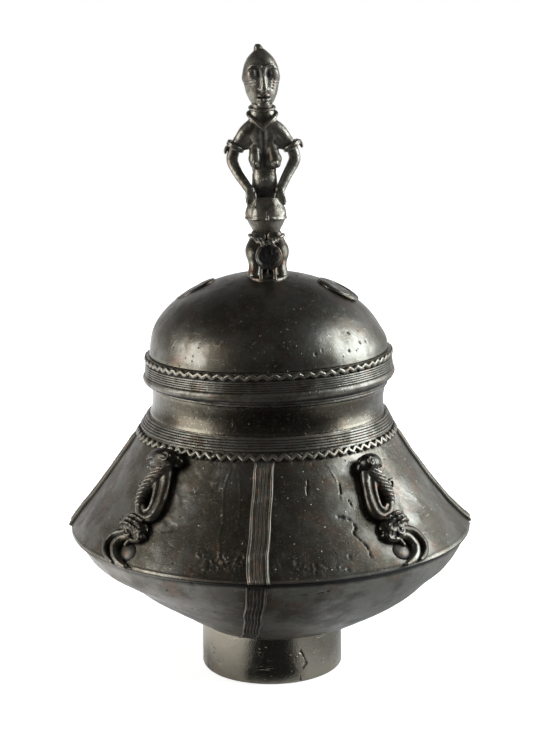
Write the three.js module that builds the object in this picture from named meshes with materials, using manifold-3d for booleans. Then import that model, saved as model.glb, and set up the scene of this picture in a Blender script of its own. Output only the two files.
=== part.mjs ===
// Lidded ointment pot of cast bronze with a female figure on the lid.
// Millimetres, +Z up. The front looks towards -Y and the origin is the centre of the foot's underside.

import * as THREE from "three";
import { mergeVertices } from "three/addons/utils/BufferGeometryUtils.js";
import Module from "manifold-3d";

const wasm = await Module();
wasm.setup();

// Facets, and the seams that the separately made elements leave between them
const RING_FACETS = 32;
const ARC_STEPS = 5;
const DOME_STEPS = 8;
const SEAM = 0.3;

// Pot
const WALL = 3;
const FOOT_RADIUS = 35.3;
const FOOT_HEIGHT = 24;
const FOOT_EDGE_ROUND = 0.8;
const FLOOR_DROP = 6;
const SHOULDER_RADIUS = 99.6;
const SHOULDER_HEIGHT = 73.5;
const SHOULDER_ROUND = 2.6;
const SHOULDER_SLACK = 0.7;
const SHOULDER_WALL_SHARE = 1.5;
const FOOT_TOP_SLOPE = 0.45;
const LOWER_WALL_BULGE = 5.2;
const UPPER_WALL_RISE = 57.5;
const UPPER_WALL_HOLLOW = 2;
const NECK_RADIUS = 57;
const NECK_FLARE = 1.1;
const NECK_HEIGHT = 13.8;
const RIM_HEIGHT = 4.2;
const RIM_RIDGES = 2;
const RIM_RIDGE_RELIEF = 0.9;

// Wound threads on the pot: plain ridges, then one zigzag below them
const COLLAR_RIDGES = 5;
const COLLAR_RIDGE_PITCH = 1.5;
const COLLAR_THICKNESS = 1.3;
const COLLAR_GROOVE_DEPTH = 0.45;
const THREAD_WIDTH = 1.3;
const THREAD_RELIEF = 1.1;
const ZIGZAG_WIDTH = 3.4;
const ZIGZAG_PITCH = 5.3;
const LID_ZIGZAG_SHARE = 0.75;
const COLLAR_ZIGZAG_GAP = 0.5;

// Ribbed bands that run down the wall, one on each side of the pot
const RIB_TOP_WIDTH = 9.4;
const RIB_SHOULDER_WIDTH = 10;
const RIB_FOOT_WIDTH = 7.4;
const RIB_RELIEF = 1.5;
const RIB_GROOVE_DEPTH = 0.6;
const RIB_RIDGES = 5;
const RIB_END_CLEARANCE = 1.2;
const FRONT_RIB_TOP_SHIFT = 2.6;
const FRONT_RIB_SHOULDER_SHIFT = 4.6;
const FRONT_RIB_FOOT_SHIFT = 10.5;

// Climbing animals on the upper wall, from the top of the head to the end of the tails
const ANIMAL_LENGTH = 60;
const ANIMAL_CENTRE_ABOVE_SHOULDER = 30;
const ANIMAL_RELIEF = 4.6;
const ANIMAL_TAIL_THICKNESS = 3.2;
const ANIMAL_HEAD_LENGTH = 19.5;
const ANIMAL_HEAD_DEPTH = 10;
const ANIMAL_BODY_TUBE = 6;
const HAUNCH_WIDTH = 14;
const HAUNCH_HEIGHT = 11.6;
const FRONT_LEFT_ANIMAL_AZIMUTH = -44;
const FRONT_RIGHT_ANIMAL_AZIMUTH = 41;
const BACK_ANIMAL_AZIMUTH = 137;

// Lid
const LID_SEAT_CLEARANCE = 0.3;
const SKIRT_DROP = 1.4;
const SKIRT_CLEARANCE = 0.8;
const SKIRT_THICKNESS = 2.2;
const BAND_TAPER = 2;
const BAND_HEIGHT = 12.2;
const BAND_RIDGES = 4;
const BAND_RIDGE_PITCH = 2.1;
const BAND_GROOVE_DEPTH = 0.6;
const DOME_STEP = 1.3;
const DOME_HEIGHT = 38.6;
const DOME_LEANNESS = 1.06;
const FLANGE_CLEARANCE = 0.6;
const FLANGE_DEPTH = 11;
const FLANGE_HEIGHT_IN_LID = 3;
const DISC_RADIUS = 11;
const DISC_THICKNESS = 1.2;
const DISC_SEAT = 2.4;
const DISC_RIM_WIDTH = 2;
const DISC_RIM_RELIEF = 0.4;
const DISC_DISTANCE = 35.5;
const DISC_AZIMUTH = 90;

// Figure, with its heights counted upwards from the top of the lid
const FIGURE_LEAN = 0.033;
const FIGURE_BASE_WIDTH = 21;
const FIGURE_BASE_DEPTH = 24;
const FIGURE_BASE_TOP = 1.4;
const FIGURE_BASE_FORWARD = 3;
const CALF_HEIGHT = 10.8;
const CALF_RADIUS = 5.3;
const SHIN_RADIUS = 3.5;
const KNEE_HEIGHT = 18;
const KNEE_RADIUS = 3.9;
const GARTER_THICKNESS = 1.1;
const LEG_GAP = 0.4;
const HIP_BOTTOM_RADIUS = 6.3;
const HIP_RIDGE_RISE = 10;
const HIP_RIDGE_RADIUS = 10;
const HIP_TOP_RISE = 8.6;
const HIP_TOP_RADIUS = 7.8;
const WAIST_RADIUS = 5.9;
const BREAST_TIP_RISE = 13.9;
const BREAST_RADIUS = 3;
const CHEST_RISE = 35.9;
const NECK_ROOT_RISE = 3;
const FIGURE_NECK_LENGTH = 5.3;
const FIGURE_NECK_RADIUS = 4.4;
const ARM_RADIUS = 2.6;
const UPPER_ARM_DROP = 17;
const ELBOW_SPREAD = 15.4;
const WRIST_RISE = 3.4;
const ARMLET_THICKNESS = 1.5;
const NECKLACE_THICKNESS = 1.7;
const NECK_RING_DROP = 1.8;
const NECK_RING_THICKNESS = 1.8;
const HEAD_LENGTH = 24.8;
const HEAD_RADIUS = 9.1;
const TOPKNOT_HEIGHT = 5;
const TOPKNOT_SINK = 1;
const TOPKNOT_RADIUS = 1.8;
const FRONT_DISH_RADIUS = 6.1;
const FRONT_DISH_THICKNESS = 2.4;
const FRONT_DISH_HEIGHT = 8.6;
const FRONT_DISH_FORWARD = 10.6;
const FRONT_DISH_STEM = 6;
const POST_SPREAD = 3.4;
const POST_FORWARD = 11.8;
const POST_RADIUS = 1;

// Colours, as the photograph shows the dark patina
const POT_BRONZE = { color: 0x2b2621, roughness: 0.45, metalness: 0.85 };
const LID_BRONZE = { color: 0x2a2521, roughness: 0.42, metalness: 0.85 };
const FIGURE_BRONZE = { color: 0x352c26, roughness: 0.4, metalness: 0.85 };

// Heights that follow from the sizes above
const NECK_BASE_HEIGHT = SHOULDER_HEIGHT + UPPER_WALL_RISE;
const NECK_BASE_RADIUS = NECK_RADIUS + NECK_FLARE;
const NECK_TOP_HEIGHT = NECK_BASE_HEIGHT + NECK_HEIGHT;
const RIM_TOP_HEIGHT = NECK_TOP_HEIGHT + RIM_HEIGHT;
const MOUTH_RADIUS = NECK_RADIUS - WALL;
const RIM_RADIUS = NECK_RADIUS + NECK_FLARE + RIM_RIDGE_RELIEF;
const SKIRT_RADIUS = RIM_RADIUS + SKIRT_CLEARANCE;
const BAND_FOOT_RADIUS = SKIRT_RADIUS + SKIRT_THICKNESS;
const BAND_TOP_RADIUS = BAND_FOOT_RADIUS - BAND_TAPER;
const DOME_RADIUS = BAND_TOP_RADIUS - DOME_STEP;
const LID_TOP = BAND_HEIGHT + SEAM + DOME_HEIGHT;
const HIP_RIDGE_HEIGHT = KNEE_HEIGHT + HIP_RIDGE_RISE;
const HIP_TOP_HEIGHT = HIP_RIDGE_HEIGHT + HIP_TOP_RISE;
const BREAST_TIP_HEIGHT = HIP_TOP_HEIGHT + BREAST_TIP_RISE;
const SHOULDER_LINE_HEIGHT = HIP_TOP_HEIGHT + CHEST_RISE;
const NECK_ROOT_HEIGHT = SHOULDER_LINE_HEIGHT + NECK_ROOT_RISE;
const CHIN_HEIGHT = NECK_ROOT_HEIGHT + FIGURE_NECK_LENGTH;
const NECK_RING_HEIGHT = CHIN_HEIGHT - NECK_RING_DROP;
const CROWN_HEIGHT = CHIN_HEIGHT + HEAD_LENGTH;
const FIGURE_HEIGHT = CROWN_HEIGHT + TOPKNOT_HEIGHT - TOPKNOT_SINK;
const ELBOW_HEIGHT = SHOULDER_LINE_HEIGHT - UPPER_ARM_DROP;
const WRIST_HEIGHT = HIP_TOP_HEIGHT + WRIST_RISE;

// Solids and geometries

function outward(geometry) {
  for (const name of Object.keys(geometry.attributes)) {
    if (name !== "position") geometry.deleteAttribute(name);
  }
  const merged = mergeVertices(geometry, 1e-4);
  const place = merged.attributes.position;
  const corner = [new THREE.Vector3(), new THREE.Vector3(), new THREE.Vector3()];
  const kept = [];
  let volume = 0;
  for (let i = 0; i < merged.index.count; i += 3) {
    const ids = [0, 1, 2].map((k) => merged.index.getX(i + k));
    if (new Set(ids).size < 3) continue;
    ids.forEach((id, k) => corner[k].fromBufferAttribute(place, id));
    volume += corner[0].dot(corner[1].clone().cross(corner[2]));
    kept.push(ids);
  }
  if (volume < 0) kept.forEach((ids) => ids.reverse());
  merged.setIndex(kept.flat());
  return merged;
}

function toSolid(geometry) {
  const closed = outward(geometry);
  return new wasm.Manifold(new wasm.Mesh({
    numProp: 3,
    vertProperties: Float32Array.from(closed.attributes.position.array),
    triVerts: Uint32Array.from(closed.index.array),
  }));
}

function toGeometry(solid) {
  const mesh = solid.getMesh();
  const geometry = new THREE.BufferGeometry();
  geometry.setAttribute("position", new THREE.BufferAttribute(mesh.vertProperties, mesh.numProp));
  geometry.setIndex(new THREE.BufferAttribute(mesh.triVerts, 1));
  return geometry;
}

function join(...geometries) {
  return toGeometry(geometries.map(toSolid).reduce((whole, next) => whole.add(next)));
}

function cut(geometry, ...tools) {
  return toGeometry(tools.map(toSolid).reduce((whole, tool) => whole.subtract(tool), toSolid(geometry)));
}

// Turns an outline of [radius, height] pairs about the pot's axis
function turned(outline, facets = RING_FACETS) {
  const points = outline.map(([radius, height]) => new THREE.Vector2(radius, height));
  return outward(new THREE.LatheGeometry(points, facets)).rotateX(Math.PI / 2);
}

// Skins a row of rings of equal point counts, and closes its ends with the given triangles
function skinned(rings, capTriangles) {
  const count = rings[0].length;
  const points = rings.flat().flatMap((point) => [point.x, point.y, point.z]);
  const faces = [];
  const spans = capTriangles ? rings.length - 1 : rings.length;
  for (let i = 0; i < spans; i += 1) {
    const a = i * count;
    const b = ((i + 1) % rings.length) * count;
    for (let k = 0; k < count; k += 1) {
      const next = (k + 1) % count;
      faces.push(a + k, a + next, b + k, b + k, a + next, b + next);
    }
  }
  const last = (rings.length - 1) * count;
  for (const [p, q, r] of capTriangles ?? []) {
    faces.push(r, q, p, last + p, last + q, last + r);
  }
  const geometry = new THREE.BufferGeometry();
  geometry.setAttribute("position", new THREE.Float32BufferAttribute(points, 3));
  geometry.setIndex(faces);
  return outward(geometry);
}

function fan(count) {
  return Array.from({ length: count - 2 }, (_, k) => [0, k + 1, k + 2]);
}

// Level oval rings, one per row of [height, centre x, centre y, half width, half depth]
function stacked(rows, sides = 12) {
  const rings = rows.map(([height, x, y, halfWidth, halfDepth]) => Array.from({ length: sides }, (_, k) => {
    const angle = (2 * Math.PI * k) / sides;
    return new THREE.Vector3(x + halfWidth * Math.sin(angle), y - halfDepth * Math.cos(angle), height);
  }));
  return skinned(rings, fan(sides));
}

// A limb of changing girth along a curve through [x, y, z, radius] points.
// Its flat option is the thickness along z over the width.
function limb(stops, { sides = 8, steps = 2 * stops.length, grow = 0, closed = false, flat = 1 } = {}) {
  const centres = stops.map(([x, y, z]) => new THREE.Vector3(x, y, z));
  const curve = new THREE.CatmullRomCurve3(centres, closed, "centripetal");
  const frames = curve.computeFrenetFrames(steps, closed);
  const last = stops.length - (closed ? 0 : 1);
  const rings = Array.from({ length: closed ? steps : steps + 1 }, (_, i) => {
    const t = i / steps;
    const before = Math.min(Math.floor(t * last), stops.length - 1);
    const share = t * last - before;
    const after = closed ? (before + 1) % stops.length : Math.min(before + 1, stops.length - 1);
    const radius = THREE.MathUtils.lerp(stops[before][3], stops[after][3], share) + grow;
    const centre = curve.getPoint(t);
    const tangent = curve.getTangent(t);
    const side = frames.normals[i].clone();
    side.addScaledVector(tangent, -side.dot(tangent)).normalize();
    const up = new THREE.Vector3().crossVectors(tangent, side);
    return Array.from({ length: sides }, (_, k) => {
      const angle = (2 * Math.PI * k) / sides;
      const point = centre.clone();
      point.addScaledVector(side, radius * Math.cos(angle));
      point.addScaledVector(up, radius * Math.sin(angle));
      point.z = centre.z + (point.z - centre.z) * flat;
      return point;
    });
  });
  return skinned(rings, closed ? null : fan(sides));
}

function ball([x, y, z], [halfX, halfY, halfZ], sides = 10) {
  const sphere = new THREE.SphereGeometry(1, sides, Math.ceil(sides * 0.7));
  return sphere.scale(halfX, halfY, halfZ).translate(x, y, z);
}

// Outlines

// An arc between two outline points that swells sideways by the given amount
function arc(from, to, swell, steps = ARC_STEPS) {
  const run = [to[0] - from[0], to[1] - from[1]];
  const chord = Math.hypot(...run);
  const side = [run[1] / chord, -run[0] / chord];
  return Array.from({ length: steps + 1 }, (_, i) => {
    const t = i / steps;
    const height = 4 * swell * t * (1 - t);
    return [from[0] + run[0] * t + side[0] * height, from[1] + run[1] * t + side[1] * height];
  });
}

// Direction square to an outline at each of its points, to the right of its run
function outlineNormals(outline) {
  return outline.map((_, i) => {
    const before = outline[Math.max(i - 1, 0)];
    const after = outline[Math.min(i + 1, outline.length - 1)];
    const run = [after[0] - before[0], after[1] - before[1]];
    const length = Math.hypot(...run);
    return [run[1] / length, -run[0] / length];
  });
}

function offset(outline, distance) {
  const normals = outlineNormals(outline);
  return outline.map(([r, z], i) => [r + normals[i][0] * distance, z + normals[i][1] * distance]);
}

// Wall point and outward direction at a distance along an outline, run on in line past its ends
function along(outline, distance) {
  const normals = outlineNormals(outline);
  let rest = distance;
  for (let i = 0; i < outline.length - 1; i += 1) {
    const run = [outline[i + 1][0] - outline[i][0], outline[i + 1][1] - outline[i][1]];
    const length = Math.hypot(...run);
    if (rest <= length || i === outline.length - 2) {
      const t = rest / length;
      const mix = THREE.MathUtils.clamp(t, 0, 1);
      return {
        radius: outline[i][0] + run[0] * t,
        height: outline[i][1] + run[1] * t,
        out: [0, 1].map((axis) => THREE.MathUtils.lerp(normals[i][axis], normals[i + 1][axis], mix)),
      };
    }
    rest -= length;
  }
}

function lengthOf(outline) {
  const steps = outline.slice(1).map(([r, z], i) => Math.hypot(r - outline[i][0], z - outline[i][1]));
  return steps.reduce((sum, step) => sum + step, 0);
}

// A point lifted off a wall, at an arc length across it from an azimuth that runs from the front to +X
function onWall(outline, distance, across, lift, azimuth) {
  const at = along(outline, distance);
  const radius = at.radius + lift * at.out[0];
  const angle = azimuth + across / at.radius;
  const height = at.height + lift * at.out[1];
  return new THREE.Vector3(radius * Math.sin(angle), -radius * Math.cos(angle), height);
}

// Outlines of the two walls, both drawn upwards, so that the right side of the run is the outside
const shoulderNose = [SHOULDER_RADIUS, SHOULDER_HEIGHT];
const lowerWallEnd = [SHOULDER_RADIUS - SHOULDER_ROUND, SHOULDER_HEIGHT - SHOULDER_ROUND];
const upperWallStart = [
  SHOULDER_RADIUS - SHOULDER_ROUND * SHOULDER_SLACK,
  SHOULDER_HEIGHT + SHOULDER_ROUND,
];
const neckBase = [NECK_BASE_RADIUS, NECK_BASE_HEIGHT];
const lowerWall = [...arc([FOOT_RADIUS, FOOT_HEIGHT], lowerWallEnd, LOWER_WALL_BULGE), shoulderNose];
const upperWall = [shoulderNose, ...arc(upperWallStart, neckBase, -UPPER_WALL_HOLLOW)];
const lowerLength = lengthOf(lowerWall);
const upperLength = lengthOf(upperWall);
const shoulderInside = SHOULDER_RADIUS - WALL * SHOULDER_WALL_SHARE;

function belowNeck(distance, across, lift, azimuth) {
  return onWall(upperWall, upperLength - distance, across, lift, azimuth);
}

// The wall's outline as [radius, height] at a distance below the neck, lifted off the surface
function wallPoint(distance, lift) {
  const at = along(upperWall, upperLength - distance);
  return [at.radius + lift * at.out[0], at.height + lift * at.out[1]];
}

// Pot body

function footRing() {
  const inner = FOOT_RADIUS - WALL;
  const topInside = FOOT_HEIGHT - WALL * FOOT_TOP_SLOPE - SEAM;
  return turned([
    [inner, 0],
    [FOOT_RADIUS - FOOT_EDGE_ROUND, 0],
    [FOOT_RADIUS, FOOT_EDGE_ROUND],
    [FOOT_RADIUS, FOOT_HEIGHT - SEAM],
    [inner, topInside],
    [inner, 0],
  ]);
}

function lowerBowl() {
  const outside = lowerWall.slice(0, -1);
  const inside = offset(outside, -WALL).reverse();
  const floorRadius = FOOT_RADIUS - WALL;
  const joint = SHOULDER_HEIGHT - SEAM / 2;
  return turned([
    [0, FOOT_HEIGHT - FLOOR_DROP],
    [floorRadius / 2, FOOT_HEIGHT - FLOOR_DROP * 0.8],
    [floorRadius, FOOT_HEIGHT - WALL * FOOT_TOP_SLOPE],
    ...outside,
    [SHOULDER_RADIUS, joint],
    [shoulderInside, joint],
    ...inside,
    [floorRadius / 2, FOOT_HEIGHT - FLOOR_DROP * 0.8 + WALL],
    [0, FOOT_HEIGHT - FLOOR_DROP + WALL],
  ]);
}

function upperBowl() {
  const outside = upperWall.slice(1);
  const inside = offset(outside, -WALL).reverse();
  const joint = SHOULDER_HEIGHT + SEAM / 2;
  return turned([
    [shoulderInside, joint],
    [SHOULDER_RADIUS, joint],
    ...outside,
    [MOUTH_RADIUS, NECK_BASE_HEIGHT],
    ...inside,
    [shoulderInside, joint],
  ]);
}

function neck() {
  return turned([
    [MOUTH_RADIUS, NECK_BASE_HEIGHT + SEAM],
    [NECK_BASE_RADIUS, NECK_BASE_HEIGHT + SEAM],
    [NECK_RADIUS, NECK_BASE_HEIGHT + NECK_HEIGHT * 0.45],
    [NECK_RADIUS + NECK_FLARE * 0.7, NECK_TOP_HEIGHT],
    [MOUTH_RADIUS, NECK_TOP_HEIGHT],
    [MOUTH_RADIUS, NECK_BASE_HEIGHT + SEAM],
  ]);
}

// Ridges as an outline's outer side: crests and grooves in turn between two radii, from bottom to top
function ridges(count, bottom, top, bottomRadius, topRadius, grooveDepth) {
  return Array.from({ length: 2 * count + 1 }, (_, i) => {
    const t = i / (2 * count);
    const radius = THREE.MathUtils.lerp(bottomRadius, topRadius, t);
    return [i % 2 ? radius : radius - grooveDepth, THREE.MathUtils.lerp(bottom, top, t)];
  });
}

function neckRim() {
  const bottom = NECK_TOP_HEIGHT + SEAM;
  return turned([
    [MOUTH_RADIUS, bottom],
    ...ridges(RIM_RIDGES, bottom, RIM_TOP_HEIGHT, RIM_RADIUS, RIM_RADIUS, RIM_RIDGE_RELIEF),
    [MOUTH_RADIUS, RIM_TOP_HEIGHT],
    [MOUTH_RADIUS, bottom],
  ]);
}

const collarLength = COLLAR_RIDGES * COLLAR_RIDGE_PITCH;
const collarZigzagTop = collarLength + COLLAR_ZIGZAG_GAP;
const collarZigzagEnd = collarZigzagTop + ZIGZAG_WIDTH + THREAD_WIDTH;

function collarRidges() {
  const crests = Array.from({ length: 2 * COLLAR_RIDGES + 1 }, (_, i) => {
    const lift = SEAM + COLLAR_THICKNESS - (i % 2 ? 0 : COLLAR_GROOVE_DEPTH);
    return wallPoint((i * COLLAR_RIDGE_PITCH) / 2, lift);
  });
  return turned([wallPoint(0, SEAM), ...crests, wallPoint(collarLength, SEAM), wallPoint(0, SEAM)]);
}

// A flat thread laid round the pot in even teeth; place gives the point for a height, a lift and an azimuth
function zigzag(pitch, meanRadius, place) {
  const teeth = Math.round((2 * Math.PI * meanRadius) / pitch);
  const rings = Array.from({ length: 2 * teeth }, (_, i) => {
    const azimuth = (i * Math.PI) / teeth;
    const middle = (i % 2 ? 1 : -1) * (ZIGZAG_WIDTH / 2);
    return [
      place(middle - THREAD_WIDTH / 2, SEAM, azimuth),
      place(middle, SEAM + THREAD_RELIEF, azimuth),
      place(middle + THREAD_WIDTH / 2, SEAM, azimuth),
    ];
  });
  return skinned(rings, null);
}

function collarZigzag() {
  const middle = (collarZigzagTop + collarZigzagEnd) / 2;
  const place = (rise, lift, azimuth) => belowNeck(middle - rise, 0, lift, azimuth);
  return zigzag(ZIGZAG_PITCH, wallPoint(middle, 0)[0], place);
}

// Ribbed bands

function ribSection(width) {
  const crests = Array.from({ length: 2 * RIB_RIDGES + 1 }, (_, i) => {
    const lift = SEAM + RIB_RELIEF - (i % 2 ? RIB_GROOVE_DEPTH : 0);
    return [width * (0.5 - i / (2 * RIB_RIDGES)), lift];
  });
  return [[-width / 2, SEAM], [width / 2, SEAM], ...crests];
}

// A rib between two stations on a wall, each with its distance, width and sideways shift
function rib(outline, from, to, azimuth) {
  const corners = outline.map((_, i) => lengthOf(outline.slice(0, i + 1)));
  const low = Math.min(from.distance, to.distance);
  const high = Math.max(from.distance, to.distance);
  const between = corners.filter((distance) => distance > low + SEAM && distance < high - SEAM);
  const stations = [low, ...between, high];
  const rings = stations.map((distance) => {
    const t = (distance - from.distance) / (to.distance - from.distance);
    const width = THREE.MathUtils.lerp(from.width, to.width, t);
    const shift = THREE.MathUtils.lerp(from.shift, to.shift, t);
    return ribSection(width).map(([across, lift]) => (
      onWall(outline, distance, across + shift, lift, azimuth)
    ));
  });
  const flat = ribSection(from.width).map(([across, lift]) => new THREE.Vector2(across, lift));
  return skinned(rings, THREE.ShapeUtils.triangulateShape(flat, []));
}

function upperRib(azimuth, topShift, shoulderShift) {
  const topDistance = upperLength - collarZigzagEnd - RIB_END_CLEARANCE;
  const top = { distance: topDistance, width: RIB_TOP_WIDTH, shift: topShift };
  const shoulder = { distance: RIB_END_CLEARANCE, width: RIB_SHOULDER_WIDTH, shift: shoulderShift };
  return rib(upperWall, shoulder, top, azimuth);
}

function lowerRib(azimuth, shoulderShift, footShift) {
  const shoulder = {
    distance: lowerLength - RIB_END_CLEARANCE,
    width: RIB_SHOULDER_WIDTH,
    shift: shoulderShift,
  };
  const foot = { distance: RIB_END_CLEARANCE * 2, width: RIB_FOOT_WIDTH, shift: footShift };
  return rib(lowerWall, foot, shoulder, azimuth);
}

// Climbing animals: head up, forelegs drawn into a loop, haunch, and two curled tubes at the shoulder.
// Each is laid out flat, with x away from the front, y up the wall and z off it, and then bent round it.
// Its places are in hundredths of the animal's length.

const unit = ANIMAL_LENGTH / 100;
const tube = ANIMAL_BODY_TUBE / 2;
const tail = ANIMAL_TAIL_THICKNESS / 2;
const relief = ANIMAL_RELIEF / 2 + SEAM;

function animalHead(grow = 0) {
  const length = ANIMAL_HEAD_LENGTH;
  const deep = ANIMAL_HEAD_DEPTH / 2;
  const x = (share) => length * (share - 0.46);
  const y = (share) => unit * (47.7 - share * 11.7);
  return limb([
    [x(0), y(0), relief, deep * 0.45],
    [x(0.18), y(0.1), relief, deep * 0.84],
    [x(0.4), y(0.32), relief, deep],
    [x(0.68), y(0.62), relief, deep * 0.7],
    [x(1), y(1), relief * 0.9, deep * 0.34],
  ], { sides: 8, steps: 6, grow });
}

const BODY_LOOP = [
  [-4, 32.3, 1],
  [-11, 16.7, 0.84],
  [-13.3, 3.3, 0.84],
  [-10.3, -7, 0.84],
  [-4.3, -8.7, 0.84],
  [1.7, -2, 0.84],
  [3.7, 8.3, 0.9],
  [2, 21.7, 1],
];

function animalBody(grow = 0) {
  const stops = BODY_LOOP.map(([x, y, girth]) => [x * unit, y * unit, relief, tube * girth]);
  return limb(stops, { sides: 6, steps: 14, grow, closed: true, flat: relief / tube });
}

function animalHaunch(grow = 0) {
  const halfWidth = HAUNCH_WIDTH / 2 + grow;
  const halfHeight = HAUNCH_HEIGHT / 2 + grow;
  return ball([3 * unit, -18.3 * unit, relief * 0.8], [halfWidth, halfHeight, relief + grow], 8);
}

function animalTail(stops, grow = 0) {
  const places = stops.map(([x, y]) => [x * unit, y * unit, tail + SEAM, tail]);
  return limb(places, { sides: 6, steps: 9, grow });
}

const OUTER_TAIL = [[11.3, -21.7], [18, -25.3], [22, -33.3], [20.7, -41.7], [14.7, -47], [8.3, -48]];
const INNER_TAIL = [[3.7, -24.3], [8.3, -29], [9, -35.7], [4.3, -41], [-2.7, -44], [-10.7, -45.3]];

function bentRoundWall(geometry, azimuth, side) {
  const bent = outward(geometry);
  const place = bent.attributes.position;
  for (let i = 0; i < place.count; i += 1) {
    const distance = ANIMAL_CENTRE_ABOVE_SHOULDER + place.getY(i);
    const point = onWall(upperWall, distance, side * place.getX(i), place.getZ(i), azimuth);
    place.setXYZ(i, point.x, point.y, point.z);
  }
  return outward(bent);
}

// Room taken by the wall and its threads, a seam larger, which the animals are trimmed to
function wallRoom() {
  const threadTop = 2 * SEAM + Math.max(THREAD_RELIEF, COLLAR_THICKNESS);
  const reach = collarZigzagEnd + SEAM;
  const skirt = SHOULDER_HEIGHT - ANIMAL_BODY_TUBE;
  return turned([
    [0, skirt],
    [SHOULDER_RADIUS + SEAM, skirt],
    ...offset(upperWall, SEAM).filter(([, height]) => height < wallPoint(reach, 0)[1]),
    wallPoint(reach, SEAM),
    wallPoint(reach, threadTop),
    wallPoint(0, threadTop),
    [0, wallPoint(0, threadTop)[1]],
  ]);
}

function animal(azimuth, side) {
  const room = wallRoom();
  const pieces = {
    head: [animalHead()],
    body: [animalBody(), animalHead(SEAM)],
    haunch: [animalHaunch(), animalBody(SEAM)],
    tail_outer: [animalTail(OUTER_TAIL), animalHaunch(SEAM)],
    tail_inner: [animalTail(INNER_TAIL), animalHaunch(SEAM)],
  };
  return Object.entries(pieces).map(([name, [piece, ...neighbours]]) => {
    const trimmed = neighbours.length ? cut(piece, ...neighbours) : piece;
    return [name, cut(bentRoundWall(trimmed, azimuth, side), room)];
  });
}

// Lid, with heights above the pot's rim

const flangeRadius = MOUTH_RADIUS - FLANGE_CLEARANCE;
const bandInside = flangeRadius + SEAM;
const bandRidgeTop = BAND_RIDGES * BAND_RIDGE_PITCH;

function lidBand() {
  const foot = -SKIRT_DROP;
  return turned([
    [bandInside, 0],
    [SKIRT_RADIUS, 0],
    [SKIRT_RADIUS, foot],
    ...ridges(BAND_RIDGES, foot, bandRidgeTop, BAND_FOOT_RADIUS, BAND_TOP_RADIUS + 1, BAND_GROOVE_DEPTH),
    [BAND_TOP_RADIUS, bandRidgeTop + SEAM],
    [BAND_TOP_RADIUS, BAND_HEIGHT],
    [bandInside, BAND_HEIGHT],
    [bandInside, 0],
  ]);
}

function lidZigzag() {
  const middle = (bandRidgeTop + SEAM + BAND_HEIGHT) / 2;
  const place = (rise, lift, azimuth) => {
    const radius = BAND_TOP_RADIUS + lift;
    const narrowed = rise * LID_ZIGZAG_SHARE;
    return new THREE.Vector3(radius * Math.sin(azimuth), -radius * Math.cos(azimuth), middle + narrowed);
  };
  return zigzag(ZIGZAG_PITCH, BAND_TOP_RADIUS, place);
}

// Half of the dome's outline, from its foot to its top, an ellipse drawn in a little by its leanness
function domeOutline(grow = 0) {
  return Array.from({ length: DOME_STEPS + 1 }, (_, i) => {
    const angle = (i / DOME_STEPS) * (Math.PI / 2);
    const radius = (DOME_RADIUS + grow) * Math.cos(angle) ** DOME_LEANNESS;
    return [i === DOME_STEPS ? 0 : radius, BAND_HEIGHT + SEAM + (DOME_HEIGHT + grow) * Math.sin(angle)];
  });
}

function lidDome() {
  return turned([...domeOutline(), ...domeOutline(-WALL).reverse(), domeOutline()[0]]);
}

function lidFlange() {
  const inner = flangeRadius - WALL;
  return turned([
    [inner, -FLANGE_DEPTH],
    [flangeRadius, -FLANGE_DEPTH],
    [flangeRadius, FLANGE_HEIGHT_IN_LID],
    [inner, FLANGE_HEIGHT_IN_LID],
    [inner, -FLANGE_DEPTH],
  ]);
}

function domeRoom() {
  const outline = domeOutline(SEAM);
  return turned([[0, outline[0][1]], ...outline]);
}

// A round plate with raised rings, tilted to lie on the dome and trimmed to fit it
function lidDisc(side) {
  const angle = Math.acos((DISC_DISTANCE / DOME_RADIUS) ** (1 / DOME_LEANNESS));
  const height = BAND_HEIGHT + SEAM + DOME_HEIGHT * Math.sin(angle);
  const tilt = Math.atan2(DOME_HEIGHT * Math.cos(angle) ** 2, DOME_LEANNESS * DISC_DISTANCE * Math.sin(angle));
  const inside = DISC_RADIUS - DISC_RIM_WIDTH;
  const top = DISC_THICKNESS;
  const disc = turned([
    [0, -DISC_SEAT],
    [DISC_RADIUS, -DISC_SEAT],
    [DISC_RADIUS, top],
    [inside, top],
    [inside - DISC_RIM_RELIEF, top - DISC_RIM_RELIEF],
    [0, top - DISC_RIM_RELIEF],
  ], 24);
  disc.rotateX(tilt).translate(0, -DISC_DISTANCE, height);
  disc.rotateZ(side * THREE.MathUtils.degToRad(DISC_AZIMUTH));
  return cut(disc, domeRoom());
}

// Figure, with heights above the top of the dome

const legSpread = CALF_RADIUS + LEG_GAP / 2;
const baseY = -FIGURE_BASE_FORWARD;

function figureBase() {
  const plate = stacked([
    [-WALL, 0, baseY, FIGURE_BASE_WIDTH / 2, FIGURE_BASE_DEPTH / 2],
    [FIGURE_BASE_TOP, 0, baseY, FIGURE_BASE_WIDTH / 2, FIGURE_BASE_DEPTH / 2],
  ], 20);
  return cut(plate, domeRoom().translate(0, 0, -LID_TOP));
}

function figureLeg(side) {
  const x = side * legSpread;
  const foot = FIGURE_BASE_TOP + SEAM;
  return stacked([
    [foot, x, -2.5, SHIN_RADIUS, SHIN_RADIUS * 1.5],
    [foot + 2.4, x, -1.8, SHIN_RADIUS, SHIN_RADIUS * 1.2],
    [CALF_HEIGHT - 3.4, x, -1.4, CALF_RADIUS * 0.86, CALF_RADIUS * 0.86],
    [CALF_HEIGHT, x, -1.2, CALF_RADIUS, CALF_RADIUS],
    [CALF_HEIGHT + 3, x, -1, CALF_RADIUS * 0.84, CALF_RADIUS * 0.84],
    [CALF_HEIGHT + 4.6, x, -0.6, KNEE_RADIUS, KNEE_RADIUS],
    [KNEE_HEIGHT, x, 0, KNEE_RADIUS, KNEE_RADIUS],
  ], 10);
}

const upright = new THREE.Vector3(0, 0, 1);

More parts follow.
